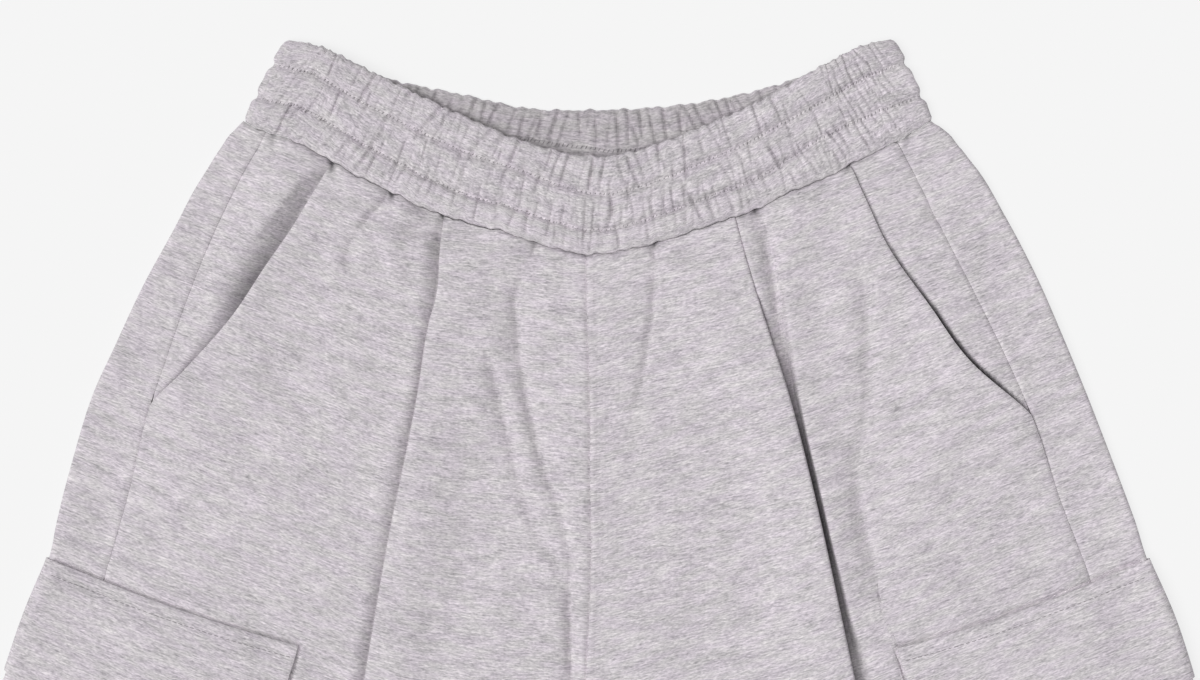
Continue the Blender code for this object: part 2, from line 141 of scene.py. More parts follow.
# Rows of sewing: how far in from the patch's edge, and how far from its front edge they start.
FLAP_ROW = 0.0078
FLAP_ROW_START = 0.002
POCKET_ROW = 0.0050
POCKET_ROW_START = 0.005

# Distances in from a cloth's edge where it rolls down, and how far it rolls.
EDGE_STEPS = np.array((0.0, 0.0003, 0.0007, 0.0012, 0.0020))
EDGE_ROLL = 0.0008
SLOPE_STEPS = np.array((0.0, 0.06, 0.11, 0.16, 0.24, 0.38, 0.56, 0.78, 1.0))
EDGE_WIDTH = 0.0018

# How steeply the streaks of the cloth climb on the outer half of each leg.
GRAIN_SLOPE = 0.38

Values = np.ndarray
Point = tuple[float, float]
Colour = tuple[float, float, float]


class Station(NamedTuple):
    """A crosswise line of the shorts, by its distance down the side seam."""

    name: str
    down: float
    centre_across: float
    centre_up: float
    back_rise: float
    leg_spread: float


STATIONS = (
    Station("waist seam", 0.000, -0.0065, 0.1920, 0.0260, 0.0000),
    Station("pocket, high", 0.033, -0.0065, 0.1710, 0.0240, 0.0000),
    Station("pocket, upper", 0.066, -0.0060, 0.1490, 0.0215, 0.0000),
    Station("pocket, middle", 0.103, -0.0050, 0.1235, 0.0185, 0.0000),
    Station("pocket, lower", 0.142, -0.0045, 0.0945, 0.0165, 0.0000),
    Station("pocket end", 0.174, -0.0045, 0.0655, 0.0140, 0.0000),
    Station("hip", 0.230, -0.0040, 0.0075, 0.0080, 0.0000),
    Station("flap line", 0.277, -0.0070, -0.0565, 0.0025, 0.0000),
    Station("crotch", 0.311, -0.0085, -0.0760, 0.0000, 0.0000),
    Station("flap hem", 0.347, -0.0085, -0.1145, 0.0000, 0.0045),
    Station("thigh", 0.422, -0.0085, -0.1870, 0.0000, 0.0120),
    Station("pocket base", 0.484, -0.0085, -0.2420, 0.0000, 0.0170),
    Station("hem", 0.574, -0.0090, -0.3175, 0.0000, 0.0220),
)
DOWNS = np.array([station.down for station in STATIONS])


class Line(NamedTuple):
    """What one leg measures at a station: its outer fold, side seam, pocket opening and pleat."""

    edge_out: float
    edge_up: float
    side_out: float
    side_up: float
    opening: float
    pleat_out: float
    pleat_up: float
    depth: float
    rim_gap: float


RIGHT_LINES = (
    Line(0.2035, 0.2662, 0.1925, 0.2605, 0.0390, 0.0895, 0.2125, 0.022, 0.010),
    Line(0.2290, 0.2365, 0.2110, 0.2275, 0.0390, 0.0915, 0.1930, 0.021, 0.010),
    Line(0.2465, 0.2045, 0.2260, 0.1955, 0.0350, 0.0930, 0.1700, 0.020, 0.010),
    Line(0.2640, 0.1725, 0.2390, 0.1625, 0.0280, 0.0990, 0.1450, 0.019, 0.010),
    Line(0.2815, 0.1350, 0.2515, 0.1260, 0.0120, 0.1045, 0.1090, 0.018, 0.010),
    Line(0.2925, 0.1110, 0.2595, 0.1025, 0.0000, 0.1095, 0.0830, 0.017, 0.010),
    Line(0.3085, 0.0585, 0.2730, 0.0495, 0.0000, 0.1220, 0.0220, 0.015, 0.010),
    Line(0.3200, 0.0150, 0.2865, 0.0015, 0.0000, 0.1335, -0.0450, 0.014, 0.010),
    Line(0.3330, -0.0170, 0.2945, -0.0295, 0.0000, 0.1380, -0.0710, 0.013, 0.010),
    Line(0.3455, -0.0540, 0.3045, -0.0645, 0.0000, 0.1440, -0.1075, 0.012, 0.010),
    Line(0.3650, -0.1270, 0.3215, -0.1375, 0.0000, 0.1565, -0.1780, 0.010, 0.010),
    Line(0.3770, -0.1895, 0.3340, -0.1985, 0.0000, 0.1625, -0.2330, 0.009, 0.010),
    Line(0.3920, -0.2790, 0.3505, -0.2870, 0.0000, 0.1710, -0.3070, 0.008, 0.010),
)
LEFT_LINES = (
    Line(0.1920, 0.2668, 0.1735, 0.2545, 0.0280, 0.0795, 0.2100, 0.022, 0.012),
    Line(0.2185, 0.2420, 0.1870, 0.2295, 0.0300, 0.0855, 0.1885, 0.021, 0.016),
    Line(0.2365, 0.2125, 0.2005, 0.2020, 0.0310, 0.0920, 0.1670, 0.020, 0.014),
    Line(0.2545, 0.1780, 0.2180, 0.1680, 0.0270, 0.1000, 0.1420, 0.019, 0.010),
    Line(0.2695, 0.1435, 0.2355, 0.1320, 0.0190, 0.1110, 0.1075, 0.018, 0.006),
    Line(0.2830, 0.1110, 0.2510, 0.0970, 0.0000, 0.1175, 0.0830, 0.017, 0.005),
    Line(0.3020, 0.0620, 0.2680, 0.0480, 0.0000, 0.1310, 0.0260, 0.015, 0.004),
    Line(0.3200, 0.0145, 0.2860, 0.0000, 0.0000, 0.1460, -0.0435, 0.014, 0.007),
    Line(0.3350, -0.0205, 0.2950, -0.0330, 0.0000, 0.1520, -0.0710, 0.013, 0.010),
    Line(0.3470, -0.0580, 0.3050, -0.0680, 0.0000, 0.1595, -0.1085, 0.012, 0.012),
    Line(0.3655, -0.1315, 0.3215, -0.1410, 0.0000, 0.1710, -0.1780, 0.010, 0.012),
    Line(0.3770, -0.1925, 0.3330, -0.2015, 0.0000, 0.1765, -0.2330, 0.009, 0.012),
    Line(0.3920, -0.2815, 0.3490, -0.2905, 0.0000, 0.1845, -0.3080, 0.008, 0.012),
)


class Pleat(NamedTuple):
    """How a pleat stands at a distance down the side seam.

    The crown is the fold's height over the cloth behind it. The cloth beside the fold starts at the
    height of its lip, sinks to the foot of a wall and climbs the wall to its rim, a gap away from
    the fold. The tilt is how much of the sinking is right beside the fold. The shade is painted
    shade: how much darker the cloth's colour is made deep in the fold, where little light comes.
    """

    down: float
    crown: float
    gap: float
    wall: float
    sink: float
    tilt: float
    rim: float
    lip: float
    shade: float


RIGHT_PLEAT = (
    Pleat(0.000, 0.0010, 0.004, 0.0040, 0.0026, 1.0, 0.0000, 0.0000, 0.35),
    Pleat(0.012, 0.0014, 0.007, 0.0070, 0.0040, 1.0, 0.0002, 0.0000, 0.28),
    Pleat(0.033, 0.0014, 0.012, 0.0120, 0.0044, 1.0, 0.0002, 0.0000, 0.20),
    Pleat(0.066, 0.0014, 0.012, 0.0120, 0.0042, 1.0, 0.0002, 0.0000, 0.12),
    Pleat(0.103, 0.0012, 0.007, 0.0070, 0.0030, 1.0, 0.0000, 0.0000, 0.04),
    Pleat(0.142, 0.0012, 0.007, 0.0070, 0.0034, 1.0, 0.0000, 0.0000, 0.06),
    Pleat(0.174, 0.0014, 0.010, 0.0100, 0.0042, 1.0, 0.0002, 0.0000, 0.06),
    Pleat(0.230, 0.0012, 0.009, 0.0090, 0.0030, 1.0, 0.0000, 0.0000, 0.10),
    Pleat(0.277, 0.0014, 0.010, 0.0100, 0.0042, 1.0, 0.0002, 0.0000, 0.12),
    Pleat(0.347, 0.0012, 0.010, 0.0100, 0.0030, 1.0, 0.0002, 0.0000, 0.08),
    Pleat(0.484, 0.0008, 0.010, 0.0100, 0.0014, 1.0, 0.0000, 0.0000, 0.04),
    Pleat(0.574, 0.0004, 0.010, 0.0100, 0.0003, 1.0, 0.0000, 0.0000, 0.00),
)
LEFT_PLEAT = (
    Pleat(0.000, 0.0002, 0.0205, 0.0060, 0.0012, 0.0, 0.0004, 0.0034, 0.00),
    Pleat(0.020, 0.0002, 0.0208, 0.0062, 0.0036, 0.0, 0.0010, 0.0040, 0.00),
    Pleat(0.040, 0.0003, 0.0205, 0.0062, 0.0050, 0.0, 0.0014, 0.0040, 0.00),
    Pleat(0.066, 0.0008, 0.0180, 0.0060, 0.0054, 0.1, 0.0016, 0.0034, 0.00),
    Pleat(0.103, 0.0020, 0.0125, 0.0050, 0.0050, 0.5, 0.0018, 0.0010, 0.02),
    Pleat(0.142, 0.0044, 0.0062, 0.0024, 0.0048, 1.0, 0.0028, 0.0000, 0.34),
    Pleat(0.174, 0.0056, 0.0046, 0.0016, 0.0052, 1.0, 0.0038, 0.0000, 0.62),
    Pleat(0.230, 0.0060, 0.0042, 0.0014, 0.0052, 1.0, 0.0040, 0.0000, 0.75),
    Pleat(0.262, 0.0052, 0.0064, 0.0034, 0.0050, 1.0, 0.0030, 0.0000, 0.48),
    Pleat(0.277, 0.0040, 0.0105, 0.0070, 0.0044, 1.0, 0.0018, 0.0000, 0.28),
    Pleat(0.347, 0.0022, 0.0130, 0.0100, 0.0032, 1.0, 0.0006, 0.0000, 0.20),
    Pleat(0.484, 0.0010, 0.0120, 0.0100, 0.0014, 1.0, 0.0002, 0.0000, 0.10),
    Pleat(0.574, 0.0004, 0.0120, 0.0100, 0.0003, 1.0, 0.0000, 0.0000, 0.00),
)


class Opening(NamedTuple):
    """How a pocket opening gapes at a distance down the side seam.

    The gape lifts the opening's edge. Beside it the facing lies low over a width, as far down as
    its dip, and climbs a slope to a swell. The bend is 1 for an even slope, and more for one that
    is steepest beside the edge. The shade is painted shade, as in a pleat.
    """

    down: float
    gape: float
    dip: float
    width: float
    slope: float
    swell: float
    bend: float
    shade: float


RIGHT_OPENING = (
    Opening(0.000, 0.0004, 0.30, 0.0000, 0.0035, 0.0004, 1.0, 0.10),
    Opening(0.008, 0.0012, 0.85, 0.0000, 0.0060, 0.0026, 1.0, 0.12),
    Opening(0.020, 0.0018, 1.00, 0.0000, 0.0110, 0.0060, 0.8, 0.12),
    Opening(0.037, 0.0024, 1.00, 0.0000, 0.0130, 0.0070, 0.8, 0.15),
    Opening(0.055, 0.0034, 1.00, 0.0000, 0.0165, 0.0060, 1.0, 0.28),
    Opening(0.070, 0.0044, 1.00, 0.0004, 0.0185, 0.0050, 1.2, 0.46),
    Opening(0.090, 0.0044, 1.00, 0.0004, 0.0170, 0.0038, 1.5, 0.48),
    Opening(0.105, 0.0026, 0.95, 0.0000, 0.0120, 0.0016, 1.4, 0.26),
    Opening(0.120, 0.0010, 0.75, 0.0000, 0.0080, 0.0004, 1.3, 0.12),
    Opening(0.142, 0.0004, 0.60, 0.0000, 0.0030, 0.0000, 1.3, 0.10),
    Opening(0.176, 0.0003, 0.50, 0.0000, 0.0026, 0.0000, 1.3, 0.10),
    Opening(0.200, 0.0000, 0.00, 0.0000, 0.0026, 0.0000, 1.3, 0.00),
)
LEFT_OPENING = (
    Opening(0.000, 0.0005, 0.25, 0.0006, 0.0025, 0.0000, 1.3, 0.06),
    Opening(0.050, 0.0010, 0.40, 0.0008, 0.0028, 0.0000, 1.3, 0.08),
    Opening(0.090, 0.0022, 0.75, 0.0009, 0.0022, 0.0002, 1.3, 0.34),
    Opening(0.112, 0.0042, 1.00, 0.0014, 0.0022, 0.0010, 1.3, 0.88),
    Opening(0.150, 0.0046, 1.00, 0.0016, 0.0022, 0.0012, 1.3, 0.92),
    Opening(0.165, 0.0018, 0.60, 0.0008, 0.0020, 0.0004, 1.3, 0.50),
    Opening(0.176, 0.0002, 0.20, 0.0006, 0.0026, 0.0000, 1.3, 0.20),
    Opening(0.200, 0.0000, 0.00, 0.0006, 0.0026, 0.0000, 1.3, 0.00),
)


class Gore(NamedTuple):
    """Where a line up the waistband leaves the waist seam and reaches the top edge, front and back."""

    along: float
    seam_across: float
    front_across: float
    front_up: float
    back_across: float
    back_up: float


BAND_GORES = (
    Gore(-1.000, -0.2060, -0.1810, 0.3150, -0.1805, 0.3145),
    Gore(-0.850, -0.1815, -0.1610, 0.3112, -0.1600, 0.3100),
    Gore(-0.667, -0.1530, -0.1370, 0.2995, -0.1345, 0.2970),
    Gore(-0.333, -0.0880, -0.0795, 0.2715, -0.0740, 0.2825),
    Gore(-0.170, -0.0490, -0.0440, 0.2565, -0.0405, 0.2755),
    Gore(0.000, -0.0065, -0.0045, 0.2475, -0.0045, 0.2745),
    Gore(0.333, 0.0785, 0.0720, 0.2695, 0.0650, 0.2800),
    Gore(0.667, 0.1435, 0.1300, 0.3000, 0.1270, 0.2975),
    Gore(0.850, 0.1705, 0.1530, 0.3115, 0.1510, 0.3105),
    Gore(1.000, 0.1945, 0.1710, 0.3155, 0.1705, 0.3150),
)

# The waist seam pulls up and sags between its gathers: (across, how far up it is from its plain curve).
SEAM_PULL = (
    (-0.205, 0.0), (-0.190, 0.001), (-0.180, 0.004), (-0.160, 0.004), (-0.140, 0.002), (-0.115, 0.002),
    (-0.105, 0.0005), (-0.075, 0.0005), (-0.055, 0.003), (-0.025, 0.0005), (-0.005, -0.002),
    (0.020, -0.0005), (0.065, 0.002), (0.095, 0.002), (0.105, 0.004), (0.120, 0.004), (0.135, 0.003),
    (0.145, 0.004), (0.165, 0.0025), (0.180, 0.001), (0.192, 0.0),
)

# Sewn rows of the waistband: (along, how far up the lower row is, how far up the upper row is).
BAND_ROWS = (
    (-1.00, 0.30, 0.70), (-0.85, 0.34, 0.71), (-0.65, 0.32, 0.68), (-0.30, 0.27, 0.67),
    (-0.15, 0.28, 0.69), (0.05, 0.24, 0.60), (0.20, 0.28, 0.63), (0.45, 0.29, 0.67),
    (0.60, 0.37, 0.68), (0.85, 0.34, 0.70), (1.00, 0.29, 0.70),
)


class Gather(NamedTuple):
    """A crease across the gathered waistband.

    It starts at a place along the band and a share of its height, leans along the band by its lean,
    and ends at another share of the height. The sharper it is, the deeper.
    """

    along: float
    low: float
    lean: float
    high: float
    sharp: float


# The gathers that stand out, listed one by one. Seeded chance places the smaller ones between them.
FRONT_GATHERS = (
    Gather(-0.88, 0.02, 0.01, 0.34, 34), Gather(-0.80, 0.38, 0.03, 0.64, 20),
    Gather(-0.77, 0.72, 0.00, 1.00, 26), Gather(-0.72, 0.38, 0.01, 0.68, 24),
    Gather(-0.64, 0.66, 0.03, 0.96, 20), Gather(-0.57, 0.30, 0.04, 0.60, 24),
    Gather(-0.56, 0.52, 0.08, 1.00, 28), Gather(-0.45, 0.58, 0.06, 0.98, 28),
    Gather(-0.42, 0.32, 0.01, 0.64, 30), Gather(-0.24, 0.68, 0.03, 1.00, 26),
    Gather(-0.21, 0.50, 0.04, 1.00, 28), Gather(-0.20, 0.32, 0.03, 0.64, 26),
    Gather(-0.13, 0.50, 0.04, 1.00, 27), Gather(-0.09, 0.72, 0.02, 1.00, 28),
    Gather(-0.07, 0.62, 0.02, 1.00, 36), Gather(0.00, 0.66, 0.01, 0.96, 55),
    Gather(0.05, 0.25, 0.01, 0.52, 28), Gather(0.12, 0.62, -0.03, 0.96, 42),
    Gather(0.14, 0.04, -0.01, 0.40, 22), Gather(0.15, 0.28, 0.00, 0.60, 22),
    Gather(0.23, 0.50, 0.00, 0.98, 28), Gather(0.34, 0.04, -0.02, 0.30, 20),
    Gather(0.35, 0.68, -0.02, 1.00, 30), Gather(0.44, 0.66, -0.02, 1.00, 28),
    Gather(0.47, 0.34, -0.02, 0.64, 22), Gather(0.50, 0.68, -0.02, 1.00, 22),
    Gather(0.54, 0.34, -0.03, 0.70, 22), Gather(0.66, 0.04, -0.02, 0.26, 28),
    Gather(0.68, 0.66, 0.00, 1.00, 26), Gather(0.71, 0.30, -0.02, 0.60, 24),
    Gather(0.77, 0.66, -0.02, 0.98, 22), Gather(0.86, 0.62, -0.01, 0.84, 20),
)
BACK_GATHERS = (
    Gather(-0.43, 0.86, 0.00, 1.00, 20), Gather(-0.33, 0.78, 0.02, 1.00, 26),
    Gather(-0.27, 0.76, 0.02, 0.98, 28), Gather(-0.16, 0.66, 0.02, 0.96, 28),
    Gather(-0.13, 0.68, 0.00, 0.96, 26), Gather(-0.10, 0.64, 0.02, 0.98, 24),
    Gather(0.08, 0.70, -0.01, 1.00, 32), Gather(0.13, 0.66, -0.03, 0.98, 30),
    Gather(0.20, 0.68, 0.00, 0.98, 42), Gather(0.24, 0.74, 0.01, 0.98, 28),
    Gather(0.28, 0.76, -0.02, 1.00, 28), Gather(0.36, 0.80, -0.01, 1.00, 28),
    Gather(0.40, 0.84, -0.01, 1.00, 30),
)


def ease(share: Values) -> Values:
    """A soft step from 0 to 1."""
    share = np.clip(share, 0.0, 1.0)
    return share * share * (3 - 2 * share)


def smooth(knots: Values, values: Values, at: Values, first_slope: Optional[float] = None) -> Values:
    """The smooth curve through the knots, which runs on straight past them.

    Args:
        knots: Rising places.
        values: The curve's values there.
        at: Where the curve is read.
        first_slope: The slope at the first knot, if it is given.

    Returns:
        The values at those places.
    """
    knots = np.asarray(knots, float)
    values = np.asarray(values, float)
    at = np.asarray(at, float)
    spans = np.diff(knots)
    slopes = np.diff(values) / spans
    tangents = np.empty(len(knots))
    tangents[0] = slopes[0] if first_slope is None else first_slope
    tangents[1:-1] = (slopes[:-1] * spans[1:] + slopes[1:] * spans[:-1]) / (spans[:-1] + spans[1:])
    tangents[-1] = slopes[-1]
    low = np.clip(np.searchsorted(knots, at, side="right") - 1, 0, len(spans) - 1)
    share = (np.clip(at, knots[0], knots[-1]) - knots[low]) / spans[low]
    rest = 1 - share
    start = (1 + 2 * share) * rest**2 * values[low] + share * rest**2 * spans[low] * tangents[low]
    end = share**2 * (3 - 2 * share) * values[low + 1] - share**2 * rest * spans[low] * tangents[low + 1]
    before = np.minimum(at - knots[0], 0.0) * tangents[0]
    after = np.maximum(at - knots[-1], 0.0) * tangents[-1]
    return start + end + before + after


def station_value(column: str, down: float) -> float:
    """A smooth value of the stations' table at a distance down the side seam."""
    return float(smooth(DOWNS, [getattr(station, column) for station in STATIONS], down))


def shape_value(table: Sequence[NamedTuple], column: str, down: float) -> float:
    """A value of a pleat's or an opening's table at a distance down the side seam."""
    return float(np.interp(down, [row.down for row in table], [getattr(row, column) for row in table]))


def leg_spread(down: float) -> float:
    """Half the gap between the legs."""
    return float(np.interp(down, DOWNS, [station.leg_spread for station in STATIONS]))


def stack(down: float) -> float:
    """How many layers of pocket and flap lie under the leg's outer fold.

    Args:
        down: Distance down the side seam.

    Returns:
        The layers, with soft steps.
    """
    after = int(np.clip(np.searchsorted(STACK_STEPS, down, side="right"), 1, len(STACK_STEPS) - 1))
    low, high = STACK_STEPS[after - 1], STACK_STEPS[after]
    share = float(ease((down - low) / (high - low)))
    return STACK_LAYERS[after - 1] + (STACK_LAYERS[after] - STACK_LAYERS[after - 1]) * share


def seam_pull(across: Values) -> Values:
    """How far the waist seam is pulled up at a place across the shorts.

    Args:
        across: Places across the shorts.

    Returns:
        The pull at each place.
    """
    across = np.asarray(across)
    places = [pull[0] for pull in SEAM_PULL]
    pull = np.interp(across, places, [pull[1] for pull in SEAM_PULL])
    for length, height in SEAM_RIPPLES:
        pull = pull + height * np.sin(2 * math.pi * across / length + RIPPLE_SHIFT * height / length)
    return pull


def seam_notches(across: Values, width: float) -> Values:
    """How strong the waist seam's gathers are at places across the shorts."""
    return sum(strength * np.exp(-(((across - place) / width) ** 2)) for place, strength in SEAM_NOTCHES)


def distances(line: Values) -> Values:
    """How far along a line of points each of them is."""
    return np.concatenate(((0.0,), np.cumsum(np.linalg.norm(np.diff(line, axis=0), axis=1))))


class Path(NamedTuple):
    """One crosswise thread of a cloth.

    It has distances out, levels, how far it takes up the creases, and how far it may be pressed.
    """

    out: Values
    level: Values
    share: Values
    room: Values


@dataclass(frozen=True)
class Crease:
    """A soft trough, or a ridge where its height is above 0, along a broken line.

    Attributes:
        points: The line, as (across, up).
        height: The middle's height over the cloth round it.
        width: Distance from the line at which little is left of it.
        fades: Shares of the line over which it fades in and out.
    """

    points: tuple[Point, ...]
    height: float
    width: float
    fades: Point = (0.3, 0.3)

    def lift(self, across: Values, up: Values) -> Values:
        """How far the crease lifts the cloth.

        Args:
            across: Places across the shorts.
            up: The same places' distances up.

        Returns:
            The lift at each place.
        """
        nearest = np.full(across.shape, np.inf)
        place = np.zeros(across.shape)
        lengths = [math.dist(start, end) for start, end in zip(self.points, self.points[1:])]
        walked = 0.0
        for start, end, length in zip(self.points, self.points[1:], lengths):
            step = (end[0] - start[0], end[1] - start[1])
            run = ((across - start[0]) * step[0] + (up - start[1]) * step[1]) / length**2
            run = np.clip(run, 0.0, 1.0)
            gap = np.hypot(across - start[0] - run * step[0], up - start[1] - run * step[1])
            closer = gap < nearest
            nearest = np.where(closer, gap, nearest)
            place = np.where(closer, (walked + run * length) / sum(lengths), place)
            walked += length
        lift = self.height * np.exp(-((nearest / self.width) ** 2))
        if self.fades[0]:
            lift = lift * ease(place / self.fades[0])
        if self.fades[1]:
            lift = lift * ease((1 - place) / self.fades[1])
        return lift


CREASES = (
    # Wearer's right front, from the waist seam down towards the crotch.
    Crease(((-0.0405, 0.1865), (-0.0480, 0.1650), (-0.0455, 0.1350), (-0.0405, 0.1050), (-0.0330, 0.0740),
            (-0.0215, 0.0425), (-0.0160, 0.0135), (-0.0150, -0.0330), (-0.0145, -0.0560)),
           -0.0023, 0.0032, (0.1, 0.0)),
    Crease(((-0.0800, 0.1485), (-0.0645, 0.1370), (-0.0570, 0.1060), (-0.0470, 0.0675), (-0.0375, 0.0325),
            (-0.0245, 0.0155), (-0.0180, -0.0100), (-0.0165, -0.0535)), -0.0021, 0.0034, (0.2, 0.0)),
    Crease(((-0.0540, 0.1300), (-0.0475, 0.1000), (-0.0380, 0.0620), (-0.0290, 0.0330)), 0.0027, 0.0048),
    Crease(((-0.0640, 0.1700), (-0.0620, 0.1450), (-0.0680, 0.1080), (-0.0620, 0.0700)), 0.0019, 0.0110),
    Crease(((-0.1195, 0.2250), (-0.1255, 0.2180), (-0.1325, 0.2115), (-0.1375, 0.2045), (-0.1400, 0.1950)),
           -0.0042, 0.0036, (0.0, 0.5)),
    Crease(((-0.1400, 0.2050), (-0.1440, 0.1930), (-0.1445, 0.1785)), -0.0032, 0.0046),
    Crease(((-0.1180, 0.2040), (-0.1110, 0.2035), (-0.1000, 0.2050), (-0.0905, 0.2095)),
           -0.0040, 0.0032, (0.4, 0.0)),
    Crease(((-0.1190, 0.2170), (-0.1080, 0.2125), (-0.0980, 0.2120)), 0.0026, 0.0036, (0.3, 0.3)),
    Crease(((-0.1265, 0.2080), (-0.1180, 0.1920), (-0.1160, 0.1660)), 0.0025, 0.0060),
    Crease(((-0.1915, 0.1525), (-0.1870, 0.1225), (-0.1730, 0.1030), (-0.1520, 0.0850)), -0.0022, 0.0060),
    Crease(((-0.1480, 0.1280), (-0.1380, 0.1000), (-0.1310, 0.0600)), 0.0017, 0.0140),
    Crease(((-0.0355, 0.1965), (-0.0395, 0.1870)), -0.0025, 0.0019, (0.0, 0.7)),
    Crease(((-0.0265, 0.1945), (-0.0290, 0.1700), (-0.0250, 0.1300)), 0.0015, 0.0060, (0.0, 0.7)),
    Crease(((-0.0165, 0.0250), (-0.0155, 0.0000), (-0.0150, -0.0330), (-0.0145, -0.0560)),
           -0.0022, 0.0022, (0.4, 0.1)),
    # Wearer's left front.
    Crease(((0.0330, 0.1975), (0.0335, 0.1830)), -0.0040, 0.0022, (0.0, 0.6)),
    Crease(((0.0335, 0.1870), (0.0330, 0.1580), (0.0270, 0.1220), (0.0175, 0.0765)),
           -0.0032, 0.0036, (0.1, 0.5)),
    Crease(((0.0460, 0.1900), (0.0480, 0.1550), (0.0440, 0.1100)), 0.0017, 0.0100, (0.1, 0.5)),
    Crease(((0.0890, 0.2150), (0.0930, 0.2030)), -0.0029, 0.0018, (0.0, 0.6)),
    Crease(((0.1520, 0.1930), (0.1565, 0.1470), (0.1580, 0.1060), (0.1500, 0.0685), (0.1520, 0.0425),
            (0.1595, 0.0135), (0.1670, -0.0285)), -0.0021, 0.0052, (0.15, 0.2)),
    Crease(((0.1390, 0.1950), (0.1430, 0.1500), (0.1450, 0.1000)), 0.0019, 0.0110),
    Crease(((0.1870, 0.2190), (0.2010, 0.2095)), -0.0022, 0.0044),
    Crease(((0.2070, 0.1150), (0.1950, 0.0800), (0.1930, 0.0400)), 0.0013, 0.0160),
    Crease(((0.0560, 0.0950), (0.0700, 0.0500), (0.0800, 0.0000)), 0.0015, 0.0150),
    # Flaps and pockets.
    Crease(((0.2560, -0.0205), (0.2825, -0.0225), (0.3110, -0.0200)), -0.0017, 0.0034),
    Crease(((0.2130, -0.0400), (0.2330, -0.0390), (0.2560, -0.0315)), -0.0013, 0.0034),
    Crease(((-0.3240, -0.0255), (-0.3005, -0.0330)), -0.0013, 0.0040),
    Crease(((0.2250, -0.1000), (0.2500, -0.1300), (0.2620, -0.1650)), -0.0019, 0.0060),
    Crease(((-0.2500, -0.1000), (-0.2700, -0.1350), (-0.2760, -0.1700)), -0.0019, 0.0064),
    Crease(((-0.2200, -0.1250), (-0.2350, -0.1600), (-0.2350, -0.1900)), 0.0019, 0.0090),
    # Lower legs and hems.
    Crease(((0.1150, -0.0700), (0.1250, -0.1300), (0.1220, -0.2000), (0.1300, -0.2600)), -0.0019, 0.0068),
    Crease(((0.0750, -0.0500), (0.0700, -0.1200), (0.0850, -0.1900)), 0.0021, 0.0120),
    Crease(((0.0500, -0.1500), (0.0620, -0.2200), (0.0600, -0.2900)), -0.0015, 0.0090, (0.3, 0.1)),
    Crease(((0.2300, -0.2150), (0.2380, -0.2600), (0.2350, -0.3000)), -0.0017, 0.0090, (0.3, 0.0)),
    Crease(((-0.1050, -0.0500), (-0.1150, -0.1200), (-0.1020, -0.2000), (-0.1120, -0.2700)), -0.0019, 0.0064),
    Crease(((-0.0560, -0.0700), (-0.0640, -0.1400), (-0.0560, -0.2100)), 0.0021, 0.0120),
    Crease(((-0.2150, -0.1900), (-0.2300, -0.2400), (-0.2260, -0.2950)), -0.0019, 0.0090, (0.3, 0.0)),
    Crease(((-0.2900, -0.2100), (-0.2960, -0.2500), (-0.2900, -0.2900)), 0.0015, 0.0100),
)


@dataclass
class Relief:
    """How the laid cloth rises and dips: long soft waves and the creases, the same for all its layers."""

    base: float = 0.0006
    wave_height: float = 0.00030
    waves: int = 16
    seed: int = 5
    creases: tuple[Crease, ...] = CREASES

    def lift(self, across: Values, up: Values) -> Values:
        """How far the cloth is lifted.

        Args:
            across: Places across the shorts.
            up: The same places' distances up.

        Returns:
            The lift at each place.
        """
        chance = random.Random(self.seed)
        lift = np.full(across.shape, self.base)
        for _ in range(self.waves):
            length = chance.uniform(0.045, 0.150)
            turn = chance.uniform(0, 2 * math.pi)
            start = chance.uniform(0, 2 * math.pi)
            run = across * math.cos(turn) + up * math.sin(turn) * 0.55
            lift += self.wave_height * np.sin(2 * math.pi * run / length + start)
        for crease in self.creases:
            lift += crease.lift(across, up)
        return lift


RELIEF = Relief()


class Side(Enum):
    """The wearer's side, by the sign of its distance across."""

    RIGHT = -1.0
    LEFT = 1.0

    @property
    def label(self) -> str:
        """The side's name in the pieces' names."""
        return self.name.lower()


